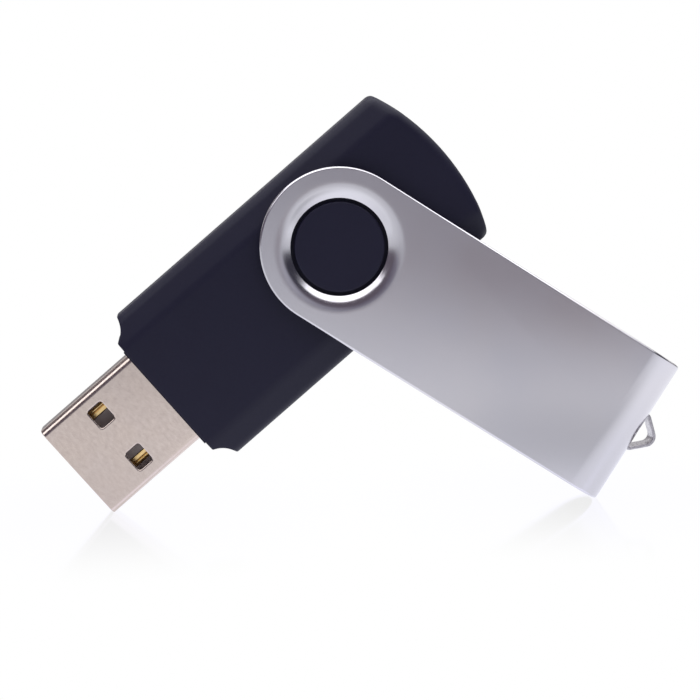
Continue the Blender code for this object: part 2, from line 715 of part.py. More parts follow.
def add_loop(pivot):
    """A strip bent to a triangle with a round apex, and with feet turned out behind the end wall."""
    foot_x = CLIP_LENGTH - CLIP_SHEET - LOOP_FOOT_GAP - LOOP_SHEET / 2
    knee_x = CLIP_LENGTH + LOOP_KNEE_REACH
    apex_x = knee_x + LOOP_HALF_SPAN * math.tan(math.radians(LOOP_LEG_DEG))
    toe = (foot_x, LOOP_FOOT_HALF_SPAN)
    heel = (foot_x, LOOP_HALF_SPAN)
    knee = (knee_x, LOOP_HALF_SPAN)
    apex = (apex_x, 0.0)
    path = [toe]
    path += rounded_corner(toe, heel, knee, LOOP_BEND_RADIUS, 3)
    path += rounded_corner(heel, knee, apex, LOOP_BEND_RADIUS, 3)
    path += rounded_corner(knee, apex, (knee_x, -LOOP_HALF_SPAN), LOOP_APEX_RADIUS, 8)[:5]
    path += [(x, -y) for x, y in reversed(path[:-1])]
    outline = [(x, y + LOOP_SIDE_SHIFT) for x, y in ribbon_outline(path, LOOP_SHEET)]
    form = upright_prism(outline, -LOOP_WIDTH / 2, LOOP_WIDTH / 2)
    add_part("lanyard_loop", form, WIRE_STEEL, pivot)


def main():
    clear_scene()
    lean, pivot_place = stance()
    frame = add_empty("drive_frame", pivot_place, (math.radians(90.0), -math.radians(lean), 0.0))
    pivot = add_empty("clip_pivot", (0, 0, 0), (0.0, 0.0, math.radians(CLIP_OPEN_DEG)), frame)
    tools = add_body_tools(frame)
    add_shell("top_shell", 1, tools, frame)
    add_shell("bottom_shell", -1, tools, frame)
    add_plug_shell(frame)
    add_insulator(frame)
    add_contacts(frame)
    add_board(frame)
    add_board_components(frame)
    add_clip(pivot)
    add_loop(pivot)


main()
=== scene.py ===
"""Swivel USB flash drive: the looks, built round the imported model.

Frames. The drive's and the clip's own frames both have their origin on the swivel axis, in the
middle plane, and +Z along the axis, out of the side with the plug's contacts in view. The drive's
+X runs towards its round end and the clip's +X towards its closed end. Each fine piece is modelled
in one of the two and placed by that frame's matrix.
"""

import json
import math

import bmesh
import bpy
from mathutils import Matrix, Vector


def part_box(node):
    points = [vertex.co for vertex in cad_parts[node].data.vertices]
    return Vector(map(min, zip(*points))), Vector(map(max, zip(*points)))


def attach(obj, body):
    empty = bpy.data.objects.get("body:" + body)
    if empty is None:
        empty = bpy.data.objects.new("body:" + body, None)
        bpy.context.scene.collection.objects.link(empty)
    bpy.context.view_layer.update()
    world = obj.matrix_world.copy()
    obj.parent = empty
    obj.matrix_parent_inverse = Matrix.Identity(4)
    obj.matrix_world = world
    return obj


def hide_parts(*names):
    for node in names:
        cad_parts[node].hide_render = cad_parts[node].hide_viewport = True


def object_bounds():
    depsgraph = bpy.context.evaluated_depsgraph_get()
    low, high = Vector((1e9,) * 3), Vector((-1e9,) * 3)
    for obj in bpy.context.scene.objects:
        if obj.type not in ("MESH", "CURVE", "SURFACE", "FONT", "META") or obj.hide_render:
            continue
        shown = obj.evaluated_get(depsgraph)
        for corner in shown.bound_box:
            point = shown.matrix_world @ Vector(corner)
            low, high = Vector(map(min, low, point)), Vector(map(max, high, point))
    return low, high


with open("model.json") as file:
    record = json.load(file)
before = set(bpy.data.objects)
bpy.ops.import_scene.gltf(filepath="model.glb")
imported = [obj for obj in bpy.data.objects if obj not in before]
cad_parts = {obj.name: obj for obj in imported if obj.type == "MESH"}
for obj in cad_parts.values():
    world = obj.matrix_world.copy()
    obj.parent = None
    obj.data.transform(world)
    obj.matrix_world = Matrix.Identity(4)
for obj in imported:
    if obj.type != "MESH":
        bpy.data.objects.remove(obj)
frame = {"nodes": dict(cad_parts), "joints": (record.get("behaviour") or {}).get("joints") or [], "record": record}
cad_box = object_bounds()

MM = 0.001

# Body
BODY_HALF_HEIGHT = 3.4 * MM
FACET_WIDTH = 3.0 * MM
FACET_TILT_DEG = 22.0
SHOULDER_RADIUS = 1.5 * MM
RIDGE_RADIUS = 3.0 * MM
REAR_RADIUS = 26.0 * MM
REAR_CORNER = 0.56 * MM
TOOTH_SETBACK = 1.75 * MM
TOOTH_FRONT_Y = 7.75 * MM
TOOTH_TIP_RADIUS = 0.22 * MM
SCALLOP_RADIUS = 2.8 * MM
BEZEL_HALF_WIDTH = 6.6 * MM
BEZEL_HALF_HEIGHT = 3.25 * MM
BEZEL_REACH = 0.15 * MM
FRONT_EDGE = 0.12 * MM
FRONT_EDGE_TURN = 0.2
FRONT_STATION = 0.7 * MM
REAR_EDGE = 1.00 * MM
REAR_EDGE_TURN = 0.75
BEZEL_EDGE = 0.04 * MM
SEAM_EDGE = 0.06 * MM
SEAM_HALF_GAP = 0.06 * MM
WALL = 1.2 * MM
ROOF = 0.9 * MM
BOSS_RADIUS = 4.88 * MM
BOSS_EDGE = 0.2 * MM

# Hollow inside the body: its front corners, and (share of the full inset, height) up its sides
CAVITY_CORNER_X = 2.05 * MM
CAVITY_CORNER_Y = 1.85 * MM
CAVITY_LOW = -0.5 * MM
CAVITY_INSET = 1.9 * MM
CAVITY_LEVELS = ((0.0, 0.9 * MM), (0.35, 1.9 * MM))

# Pegs, sockets and board rests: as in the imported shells
PEG_PLACES = ((-21.8 * MM, 7.3 * MM, 2.45 * MM), (11.2 * MM, 6.2 * MM, 2.80 * MM))
PEG_POST_RADIUS = 1.1 * MM
PEG_RADIUS = 0.55 * MM
PEG_REACH = 1.2 * MM
PEG_SHOULDER = 0.4 * MM
SOCKET_RADIUS = 0.85 * MM
SOCKET_DEPTH = 1.6 * MM
REST_ROOT = 2.65 * MM
REST_X = (-13.0 * MM, 8.0 * MM)
REST_Y = 6.75 * MM
REST_LENGTH = 1.6 * MM
REST_WIDTH = 0.8 * MM
REST_GAP = 0.2 * MM

# Plug
PLUG_SHEET = 0.30 * MM
PLUG_CORNER = 0.85 * MM
PLUG_LIP = 0.10 * MM
WINDOW_LENGTH = 2.0 * MM
WINDOW_WIDTH = 2.5 * MM
WINDOW_SETBACK = 5.16 * MM
WINDOW_Y = 3.08 * MM
WINDOW_CORNER = 0.32 * MM
WINDOW_ROLL = (
    (0.0, -0.075 * MM), (0.025 * MM, -0.045 * MM), (0.09 * MM, -0.015 * MM),
    (0.17 * MM, 0.0), (0.40 * MM, 0.08 * MM),
)
TAB_HALF_HEIGHT = 0.9 * MM
TAB_LENGTH = 3.5 * MM
TAB_OVERLAP = 0.2 * MM
FIT_GAP = 0.25 * MM

# The plug's folded seam, from the plug's tip, with its dovetail
FOLD_TAIL_START = 4.2 * MM
FOLD_TAIL_LENGTH = 3.4 * MM
FOLD_TAIL_DEPTH = 1.3 * MM
FOLD_TAIL_FLARE = 0.5 * MM
FOLD_WIDTH = 0.06 * MM
FOLD_DEPTH = 0.14 * MM

# Insulator and contacts
TONGUE_TOP = -0.15 * MM
BLOCK_FRONT_X = -25.5 * MM
INSULATOR_EDGE = 0.12 * MM
GROOVE_WIDTH = 1.08 * MM
GROOVE_FLOOR = 0.65 * MM
GROOVE_EDGE = 0.05 * MM
GROOVE_SHIFT = 1.0 * MM
GROOVE_EXTRA = 2.3 * MM
CONTACT_THICKNESS = 0.28 * MM

# Nose of a contact: distance from its tip, drop below its top, share of its full width
CONTACT_NOSE = ((0.0, 0.14 * MM, 0.55), (0.1 * MM, 0.06 * MM, 0.8), (0.35 * MM, 0.0, 1.0))

# Clip and loop
CLIP_SHEET = 0.60 * MM
CLIP_BEND_RADIUS = 4.5 * MM
CLIP_EDGE = 0.25 * MM
CLIP_EDGE_PROFILE = 0.42
LIP_EDGE = 0.05 * MM
HOLE_RADIUS = 5.24 * MM
DISH_RADIUS = 7.35 * MM
DISH_RIM = 0.15 * MM
DISH_CONE_RADIUS = 5.75 * MM
DISH_SLOPE_DEG = 30.0
DISH_EASE = 1.9
LOOP_SHEET = 0.35 * MM
LOOP_HALF_SPAN = 2.15 * MM
LOOP_LEG_DEG = 48.0
LOOP_APEX_RADIUS = 1.0 * MM
LOOP_BEND_RADIUS = 0.45 * MM
LOOP_KNEE_REACH = 0.1 * MM
LOOP_EDGE = 0.07 * MM
SLOT_CORNER = 0.5 * MM
SLOT_REACH = 2.0 * MM

# Facets and shading
RING_STEPS = 160
POST_STEPS = 32
DISH_STEPS = 24
BEND_STEPS = 30
SHOULDER_STEPS = 24
RIDGE_STEPS = 12
BOW_STEPS = 24
HOLLOW_STEPS = 12
TIP_STEPS = 5
ROW_COUNT = 6
ROW_GAP = 0.015 * MM
SIDE_GAP = 0.01 * MM
WELD_DISTANCE = 0.005 * MM
SMOOTH_ANGLE = math.radians(32.0)

# Camera, as seen from the aim point
CAMERA_AIM = (-1.311 * MM, 0.0, 17.106 * MM)
CAMERA_DISTANCE = 221.48 * MM
CAMERA_AZIMUTH_DEG = -5.050
CAMERA_ELEVATION_DEG = 6.677
CAMERA_ROLL_DEG = -0.729
CAMERA_LENS = 103.26


# ---- The two local frames

PIVOT = Vector(frame["joints"][0]["pos_m"])
MOUNTS = {mount["name"]: Vector(mount["pos_m"]) for mount in frame["record"]["mounts"]}


def local_frame(toward):
    """Matrix of a frame on the swivel axis, with +X towards a point and +Z along the axis."""
    z_axis = Vector(frame["joints"][0]["axis"])
    x_axis = toward - PIVOT
    x_axis -= z_axis * x_axis.dot(z_axis)
    x_axis.normalize()
    axes = Matrix((x_axis, z_axis.cross(x_axis), z_axis)).transposed()
    return Matrix.Translation(PIVOT) @ axes.to_4x4()


DRIVE = local_frame(2 * PIVOT - MOUNTS["plug_face"])
CLIP = local_frame(MOUNTS["clip_print_face"])


def extent(node, matrix):
    """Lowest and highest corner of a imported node, in a local frame."""
    inverse = matrix.inverted()
    points = [inverse @ vertex.co for vertex in frame["nodes"][node].data.vertices]
    low = Vector([min(point[axis] for point in points) for axis in range(3)])
    high = Vector([max(point[axis] for point in points) for axis in range(3)])
    return low, high


# ---- Outlines

def arc(center, radius, start_deg, end_deg, steps):
    points = []
    for step in range(steps + 1):
        angle = math.radians(start_deg + (end_deg - start_deg) * step / steps)
        points.append((center[0] + radius * math.cos(angle), center[1] + radius * math.sin(angle)))
    return points


def hollow_arc(start, end, radius, steps):
    """Points of the arc from start to end that bows to the left."""
    a = Vector(start)
    b = Vector(end)
    chord = b - a
    right = Vector((chord.y, -chord.x)).normalized()
    center = (a + b) / 2 + right * math.sqrt(radius ** 2 - (chord.length / 2) ** 2)
    start_angle = math.degrees(math.atan2(a.y - center.y, a.x - center.x))
    end_angle = math.degrees(math.atan2(b.y - center.y, b.x - center.x))
    if end_angle > start_angle:
        end_angle -= 360.0
    return arc(center, radius, start_angle, end_angle, steps)


def rounded_corner(before, corner, after, radius, steps):
    """Points of the fillet that replaces one corner of an outline or a path."""
    corner = Vector(corner)
    back = (Vector(before) - corner).normalized()
    ahead = (Vector(after) - corner).normalized()
    half_angle = back.angle(ahead) / 2
    center = corner + (back + ahead).normalized() * (radius / math.sin(half_angle))
    reach = radius / math.tan(half_angle)
    first = corner + back * reach - center
    sweep = math.pi - 2 * half_angle
    turn = -sweep if back.cross(ahead) > 0 else sweep
    points = []
    for step in range(steps + 1):
        spoke = Matrix.Rotation(turn * step / steps, 2) @ first
        points.append(tuple(center + spoke))
    return points


def rounded_outline(corners, radius, steps):
    points = []
    for index, corner in enumerate(corners):
        after = corners[(index + 1) % len(corners)]
        points += rounded_corner(corners[index - 1], corner, after, radius, steps)
    return points


def rectangle(half_x, half_y):
    return [(-half_x, -half_y), (half_x, -half_y), (half_x, half_y), (-half_x, half_y)]


def rounded_rectangle(half_x, half_y, radius, steps):
    return rounded_outline(rectangle(half_x, half_y), radius, steps)


def ribbon_outline(path, thickness):
    """The outline of a strip of even thickness that follows an open path."""
    left_side = []
    right_side = []
    for index, point in enumerate(path):
        here = Vector(point)
        into = (here - Vector(path[index - 1])).normalized() if index else None
        out = (Vector(path[index + 1]) - here).normalized() if index + 1 < len(path) else None
        along = ((into or out) + (out or into)).normalized()
        normal = Vector((-along.y, along.x))
        reach = thickness / 2 / normal.dot(Vector((-(out or into).y, (out or into).x)))
        left_side.append(tuple(here + normal * reach))
        right_side.append(tuple(here - normal * reach))
    return left_side + right_side[::-1]


# ---- Solids

def loft(rings, capped=True):
    """A solid through rings of equal point counts; without caps, the last ring meets the first."""
    bm = bmesh.new()
    loops = [[bm.verts.new(point) for point in ring] for ring in rings]
    pairs = list(zip(loops, loops[1:]))
    if not capped:
        pairs.append((loops[-1], loops[0]))
    for low, high in pairs:
        for index in range(len(low)):
            after = (index + 1) % len(low)
            bm.faces.new((low[index], low[after], high[after], high[index]))
    if capped:
        bm.faces.new(loops[0][::-1])
        bm.faces.new(loops[-1])
    bmesh.ops.recalc_face_normals(bm, faces=bm.faces)
    return bm


def upright_prism(outline, low, high):
    return loft([[(x, y, z) for x, y in outline] for z in (low, high)])


def turned(profile, center=(0.0, 0.0), steps=RING_STEPS):
    """A solid of revolution about an axis along Z, from (radius, height) points."""
    rings = []
    for radius, height in profile:
        rings.append([(x, y, height) for x, y in arc(center, radius, 0.0, 360.0, steps)[:-1]])
    return loft(rings)


def block(center, size, bevel=0.0, segments=3):
    """A box with rounded edges."""
    bm = bmesh.new()
    bmesh.ops.create_cube(bm, size=1.0)
    bmesh.ops.scale(bm, vec=size, verts=bm.verts)
    if bevel:
        bmesh.ops.bevel(bm, geom=bm.edges, offset=bevel, segments=segments, profile=0.5, affect="EDGES")
    bmesh.ops.translate(bm, vec=center, verts=bm.verts)
    return bm


def flip(bm, side):
    """Turns a solid made for the upper half over into the lower half."""
    if side < 0:
        bmesh.ops.rotate(bm, cent=(0, 0, 0), matrix=Matrix.Rotation(math.pi, 3, "X"), verts=bm.verts)
    return bm


# ---- Objects

def add_object(name, bm, matrix):
    mesh = bpy.data.meshes.new(name)
    bm.to_mesh(mesh)
    bm.free()
    item = bpy.data.objects.new(name, mesh)
    item.matrix_world = matrix
    bpy.context.scene.collection.objects.link(item)
    return item


def combine(piece, operation, bm):
    """Joins a solid to a piece or cuts it out, in the piece's own frame."""
    tool = add_object("tool", bm, piece.matrix_world)
    modifier = piece.modifiers.new("combine", "BOOLEAN")
    modifier.operation = operation
    modifier.solver = "EXACT"
    modifier.object = tool
    bake(piece)
    bpy.data.objects.remove(tool, do_unlink=True)


def bake(piece):
    """Replaces a piece's mesh by what its modifiers make of it."""
    bpy.context.view_layer.update()
    graph = bpy.context.evaluated_depsgraph_get()
    mesh = bpy.data.meshes.new_from_object(piece.evaluated_get(graph))
    piece.modifiers.clear()
    piece.data = mesh


def complete(piece, material, body, nodes):
    """Gives a finished piece its place in the world, its shading, its material and its body."""
    piece.data.transform(piece.matrix_world)
    piece.matrix_world = Matrix.Identity(4)
    piece.data.materials.clear()
    piece.data.materials.append(material)
    piece.data.shade_smooth()
    piece.data.set_sharp_from_angle(angle=SMOOTH_ANGLE)
    weights = piece.modifiers.new("flat_faces", "WEIGHTED_NORMAL")
    weights.keep_sharp = True
    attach(piece, body)
    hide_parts(*nodes)


# ---- Body

BODY_LOW, BODY_HIGH = extent("top_shell", DRIVE)
BODY_HALF_WIDTH = BODY_HIGH.y
BODY_FRONT_X = BODY_LOW.x + BEZEL_REACH
BODY_REAR_X = BODY_HIGH.x
BOSS_TOP = BODY_HIGH.z
TOOTH_SIDE_X = BODY_FRONT_X + TOOTH_SETBACK


def side_profile():
    """Half of the body's section, from its shoulder over the sloping facet to the flat top."""
    facet_rise = FACET_WIDTH * math.tan(math.radians(FACET_TILT_DEG))
    foot = (BODY_HALF_WIDTH, 0.0)
    shoulder = (BODY_HALF_WIDTH, BODY_HALF_HEIGHT - facet_rise)
    ridge = (BODY_HALF_WIDTH - FACET_WIDTH, BODY_HALF_HEIGHT)
    middle = (0.0, BODY_HALF_HEIGHT)
    profile = rounded_corner(foot, shoulder, ridge, SHOULDER_RADIUS, SHOULDER_STEPS)
    profile += rounded_corner(shoulder, ridge, middle, RIDGE_RADIUS, RIDGE_STEPS)
    return profile + [middle]


PROFILE = side_profile()


def surface_height(y):
    """Height of the body's surface at a cross position."""
    for (y_out, z_out), (y_in, z_in) in zip(PROFILE, PROFILE[1:]):
        if abs(y) >= y_in:
            return z_out + (z_in - z_out) * (y_out - abs(y)) / (y_out - y_in)
    return BODY_HALF_HEIGHT


def front_line():
    """The front end from the middle to the side: face, tooth, scallop, tooth."""
    inner = (BODY_FRONT_X, TOOTH_FRONT_Y)
    outer = (TOOTH_SIDE_X, BODY_HALF_WIDTH)
    hollow = hollow_arc(outer, inner, SCALLOP_RADIUS, HOLLOW_STEPS)[::-1]
    line = [(BODY_FRONT_X, 0.0)]
    line += rounded_corner(line[0], inner, hollow[1], TOOTH_TIP_RADIUS, TIP_STEPS)
    line += hollow[1:-1]
    line += rounded_corner(hollow[-2], outer, (0.0, BODY_HALF_WIDTH), TOOTH_TIP_RADIUS, TIP_STEPS)
    return line


def front_x(y, line):
    """Where the front end is at a cross position."""
    for (x_in, y_in), (x_out, y_out) in zip(line, line[1:]):
        if y <= y_out:
            return x_in + (x_out - x_in) * (y - y_in) / (y_out - y_in)
    return line[-1][0]


def rear_x(y):
    """Where the bowed rear end, with its rounded corner, is at a cross position."""
    center_x = BODY_REAR_X - REAR_RADIUS
    corner_y = BODY_HALF_WIDTH - REAR_CORNER
    corner_x = center_x + math.sqrt((REAR_RADIUS - REAR_CORNER) ** 2 - corner_y ** 2)
    if y <= corner_y * REAR_RADIUS / (REAR_RADIUS - REAR_CORNER):
        return center_x + math.sqrt(REAR_RADIUS ** 2 - y ** 2)
    return corner_x + math.sqrt(max(REAR_CORNER ** 2 - (y - corner_y) ** 2, 0.0))


def body_rows(line):
    """Cross positions of the surface's rows, from the middle to the side."""
    rows = [PROFILE[-2][0] * step / ROW_COUNT for step in range(ROW_COUNT)]
    rows += [y for y, z in PROFILE]
    rows += [y for x, y in line]
    corner_y = BODY_HALF_WIDTH - REAR_CORNER
    rows += [corner_y + REAR_CORNER * math.sin(math.radians(10.0 * step)) for step in range(10)]
    kept = [0.0]
    for y in sorted(rows):
        if ROW_GAP < y - kept[-1] and y < BODY_HALF_WIDTH - SIDE_GAP:
            kept.append(y)
    return kept + [BODY_HALF_WIDTH]


def body_form():
    """The closed outer form of the upper half, with its edges to be rounded marked by weights."""
    line = front_line()
    half = body_rows(line)
    rows = [-y for y in half[:0:-1]] + half
    bm = bmesh.new()
    weight = bm.edges.layers.float.new("bevel_weight_edge")
    grid = []
    for y in rows:
        start = front_x(abs(y), line)
        end = rear_x(abs(y))
        stations = [start, start + FRONT_STATION]
        stations += [start + (end - start) * step / ROW_COUNT for step in range(1, ROW_COUNT)]
        stations += [end - 1.5 * REAR_EDGE, end]
        grid.append([bm.verts.new((x, y, surface_height(y))) for x in stations])
    for near, far in zip(grid, grid[1:]):
        for index in range(len(near) - 1):
            bm.faces.new((near[index], near[index + 1], far[index + 1], far[index]))
    rim = grid[0][:-1] + [row[-1] for row in grid[:-1]] + grid[-1][:0:-1] + [row[0] for row in grid[:0:-1]]
    seam = [bm.verts.new((vertex.co.x, vertex.co.y, SEAM_HALF_GAP)) for vertex in rim]
    for index, vertex in enumerate(rim):
        after = (index + 1) % len(rim)
        bm.faces.new((vertex, seam[index], seam[after], rim[after]))
        edge = bm.edges.get((vertex, rim[after]))
        along = rim[after].co - vertex.co
        across = abs(along.y) / math.hypot(along.x, along.y)
        if vertex.co.x > 0.0:
            width = REAR_EDGE * min(1.0, across / REAR_EDGE_TURN)
        else:
            width = FRONT_EDGE * min(1.0, across / FRONT_EDGE_TURN)
        edge[weight] = width / MM
        bm.edges.get((seam[index], seam[after]))[weight] = SEAM_EDGE / MM
    bm.faces.new(seam)
    bmesh.ops.recalc_face_normals(bm, faces=bm.faces)
    return bm


def cavity_form():
    """The hollow inside the body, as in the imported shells."""
    front = BODY_FRONT_X + WALL
    side = BODY_HALF_WIDTH - WALL
    radius = REAR_RADIUS - WALL
    swing = math.degrees(math.asin(side / radius))
    plan = arc((BODY_REAR_X - REAR_RADIUS, 0.0), radius, -swing, swing, BOW_STEPS)
    plan += [(front + CAVITY_CORNER_X, side), (front, side - CAVITY_CORNER_Y)]
    plan += [(front, -side + CAVITY_CORNER_Y), (front + CAVITY_CORNER_X, -side)]
    levels = ((0.0, CAVITY_LOW), *CAVITY_LEVELS, (1.0, BODY_HALF_HEIGHT - ROOF))
    rings = []
    for share, height in levels:
        inset = CAVITY_INSET * share
        rings.append([(x, y * (side - inset) / side, height) for x, y in plan])
    return loft(rings)


def add_fittings(shell, side):
    """Pegs or sockets, and the pads that hold the board."""
    board_low, board_high = extent("circuit_board", DRIVE)
    tip = (board_high.z if side > 0 else -board_low.z) + REST_GAP
    for hand in (-1, 1):
        for x in REST_X:
            center = (x, hand * REST_Y, side * (REST_ROOT + tip) / 2)
            combine(shell, "UNION", block(center, (REST_LENGTH, REST_WIDTH, REST_ROOT - tip)))
        for x, y, root in PEG_PLACES:
            center = (x, hand * y)
            profile = [(PEG_POST_RADIUS, side * root), (PEG_POST_RADIUS, side * PEG_SHOULDER)]
            if side > 0:
                profile += [(PEG_RADIUS, PEG_SHOULDER), (PEG_RADIUS, -PEG_REACH)]
            combine(shell, "UNION", turned(profile, center, POST_STEPS))
            if side < 0:
                walls = [(SOCKET_RADIUS, -SOCKET_DEPTH), (SOCKET_RADIUS, 0.0)]
                hole = turned(walls, center, POST_STEPS)
                combine(shell, "DIFFERENCE", hole)


def add_shell(name, side, material):
    """One half of the body: faceted, with rounded edges, a bezel for the plug and a boss."""
    shell = add_object(name + "_fine", flip(body_form(), side), DRIVE)
    edges = shell.modifiers.new("edges", "BEVEL")
    edges.width = MM
    edges.limit_method = "WEIGHT"
    edges.segments = 4
    bake(shell)
    bezel_size = (2 * BEZEL_REACH, 2 * BEZEL_HALF_WIDTH, BEZEL_HALF_HEIGHT - SEAM_HALF_GAP)
    bezel_z = side * (BEZEL_HALF_HEIGHT + SEAM_HALF_GAP) / 2
    combine(shell, "UNION", block((BODY_FRONT_X, 0.0, bezel_z), bezel_size, BEZEL_EDGE))
    combine(shell, "DIFFERENCE", flip(cavity_form(), side))
    plug_low, plug_high = extent("plug_shell", DRIVE)
    mouth = rounded_rectangle(plug_high.y + FIT_GAP, plug_high.z + FIT_GAP, PLUG_CORNER, 6)
    reach = (BODY_FRONT_X - 2 * WALL, BODY_FRONT_X + 2 * WALL)
    combine(shell, "DIFFERENCE", loft([[(x, y, z) for y, z in mouth] for x in reach]))
    profile = [(BOSS_RADIUS, BODY_HALF_HEIGHT - ROOF / 2)]
    profile += arc((BOSS_RADIUS - BOSS_EDGE, BOSS_TOP - BOSS_EDGE), BOSS_EDGE, 0.0, 90.0, 4)
    combine(shell, "UNION", flip(turned(profile), side))
    add_fittings(shell, side)
    complete(shell, material, "drive", [name])


# ---- Plug

PLUG_LOW, PLUG_HIGH = extent("plug_shell", DRIVE)
PLUG_TIP_X = PLUG_LOW.x
PLUG_REAR_X = PLUG_HIGH.x - TAB_LENGTH
PLUG_HALF_WIDTH = PLUG_HIGH.y
PLUG_HALF_HEIGHT = PLUG_HIGH.z


def plug_section(x, inset, radius):
    outline = rounded_rectangle(PLUG_HALF_WIDTH - inset, PLUG_HALF_HEIGHT - inset, radius, 8)
    return [(x, y, z) for y, z in outline]


def plug_tube():
    """The folded tube: rounded corners, and a softly rounded edge at the mouth."""
    inner_radius = PLUG_CORNER - PLUG_SHEET
    lip_steps = 4
    rings = [plug_section(PLUG_REAR_X, PLUG_SHEET, inner_radius)]
    rings.append(plug_section(PLUG_REAR_X, 0.0, PLUG_CORNER))
    for step in range(lip_steps + 1):
        angle = math.radians(90.0 * step / lip_steps)
        inset = PLUG_LIP * (1.0 - math.cos(angle))
        x = PLUG_TIP_X + PLUG_LIP * (1.0 - math.sin(angle))
        rings.append(plug_section(x, inset, PLUG_CORNER - inset))
    rings.append(plug_section(PLUG_TIP_X, PLUG_SHEET - 0.5 * PLUG_LIP, inner_radius + 0.5 * PLUG_LIP))
    rings.append(plug_section(PLUG_TIP_X + 0.5 * PLUG_LIP, PLUG_SHEET, inner_radius))
    return loft(rings, capped=False)


def window_form(center_x, center_y):
    """A window through both faces, with its rims rolled softly outwards."""
    upper = [(grow, PLUG_HALF_HEIGHT + height) for grow, height in WINDOW_ROLL]
    rings = []
    for grow, height in [(grow, -height) for grow, height in reversed(upper)] + upper:
        outline = rounded_rectangle(
            WINDOW_LENGTH / 2 + grow, WINDOW_WIDTH / 2 + grow, WINDOW_CORNER + grow, 6)
        rings.append([(center_x + x, center_y + y, height) for x, y in outline])
    return loft(rings)


def seam_form():
    """The fold's butt seam on the face without contacts, with its dovetail."""
    tail_start = PLUG_TIP_X + FOLD_TAIL_START
    tail_end = tail_start + FOLD_TAIL_LENGTH
    path = [
        (PLUG_TIP_X - MM, 0.0), (tail_start, 0.0), (tail_start - FOLD_TAIL_FLARE, FOLD_TAIL_DEPTH),
        (tail_end + FOLD_TAIL_FLARE, FOLD_TAIL_DEPTH), (tail_end, 0.0), (BODY_FRONT_X + MM, 0.0),
    ]
    low = -PLUG_HALF_HEIGHT - MM
    return upright_prism(ribbon_outline(path, FOLD_WIDTH), low, -PLUG_HALF_HEIGHT + FOLD_DEPTH)


def add_plug_shell(material):
    shell = add_object("plug_shell_fine", plug_tube(), DRIVE)
    center_x = PLUG_TIP_X + WINDOW_SETBACK + WINDOW_LENGTH / 2
    for hand in (-1, 1):
        combine(shell, "DIFFERENCE", window_form(center_x, hand * WINDOW_Y))
        tab_center = (PLUG_REAR_X + TAB_LENGTH / 2, hand * (PLUG_HALF_WIDTH - PLUG_SHEET / 2), 0.0)
        tab_size = (TAB_LENGTH + TAB_OVERLAP, PLUG_SHEET, 2 * TAB_HALF_HEIGHT)
        combine(shell, "UNION", block(tab_center, tab_size))
    combine(shell, "DIFFERENCE", seam_form())
    complete(shell, material, "drive", ["plug_shell"])


def add_insulator(material):
    """The tongue and the block behind it, with soft edges, grooved for the contacts."""
    low, high = extent("plug_insulator", DRIVE)
    side_view = [
        (low.x, low.z), (high.x, low.z), (high.x, high.z),
        (BLOCK_FRONT_X, high.z), (BLOCK_FRONT_X, TONGUE_TOP), (low.x, TONGUE_TOP),
    ]
    form = loft([[(x, y, z) for x, z in side_view] for y in (low.y, high.y)])
    insulator = add_object("plug_insulator_fine", form, DRIVE)
    edges = insulator.modifiers.new("edges", "BEVEL")
    edges.width = INSULATOR_EDGE
    edges.segments = 3
    bake(insulator)
    for name in CONTACTS:
        start, end = extent(name, DRIVE)
        center = ((start.x + high.x) / 2 + GROOVE_SHIFT, (start.y + end.y) / 2, TONGUE_TOP)
        size = (high.x - start.x + GROOVE_EXTRA, GROOVE_WIDTH, 2 * (GROOVE_FLOOR + TONGUE_TOP))
        combine(insulator, "DIFFERENCE", block(center, size, GROOVE_EDGE, 2))
    complete(insulator, material, "drive", ["plug_insulator"])


CONTACTS = ("contact_power", "contact_data_minus", "contact_data_plus", "contact_ground")


def contact_section(inward):
    """Across a contact: a flat land on its inner half, a valley and a narrow ridge outside it."""
    shape = (
        (-0.50, -0.10), (-0.44, 0.0), (-0.06, 0.0), (0.02, -0.10), (0.08, -0.11),
        (0.18, -0.01), (0.25, -0.01), (0.38, -0.15), (0.50, -0.20), (0.50, -0.28), (-0.50, -0.28),
    )
    section = [(y * MM * inward, z * MM) for y, z in shape]
    return section if inward > 0 else section[::-1]


def add_contact(name, material):
    low, high = extent(name, DRIVE)
    middle = (low.y + high.y) / 2
    section = contact_section(1 if middle > 0 else -1)
    bottom = high.z - CONTACT_THICKNESS
    stations = [(low.x + reach, drop, share) for reach, drop, share in CONTACT_NOSE]
    rings = []
    for x, drop, share in stations + [(high.x, 0.0, 1.0)]:
        ring = []
        for y, z in section:
            height = max(high.z + z - drop, bottom)
            ring.append((x, middle + y * share, height))
        rings.append(ring)
    contact = add_object(name + "_fine", loft(rings), DRIVE)
    complete(contact, material, "drive", [name])


# ---- Clip and loop

CLIP_LOW, CLIP_HIGH = extent("swivel_clip", CLIP)
CLIP_LENGTH = CLIP_HIGH.x
CLIP_HALF_WIDTH = CLIP_HIGH.y
CLIP_HALF_HEIGHT = CLIP_HIGH.z


def head_point(angle_deg):
    """A point on the outline of the clip's round head."""
    angle = math.radians(angle_deg)
    return (CLIP_HALF_WIDTH * math.cos(angle), CLIP_HALF_WIDTH * math.sin(angle))


def dish_profile():
    """Outer surface of the pressed dish, as (radius, height): it steepens softly to a cone."""
    radius = DISH_RADIUS
    height = CLIP_HALF_HEIGHT
    profile = [(radius, height)]
    step_width = (DISH_RADIUS - HOLE_RADIUS) / DISH_STEPS
    for step in range(DISH_STEPS):
        middle = (step + 0.5) * step_width
        share = min(1.0, middle / (DISH_RADIUS - DISH_CONE_RADIUS))
        slope = DISH_SLOPE_DEG * share ** DISH_EASE
        radius -= step_width
        height -= step_width * math.tan(math.radians(slope))
        profile.append((radius, height))
    return profile


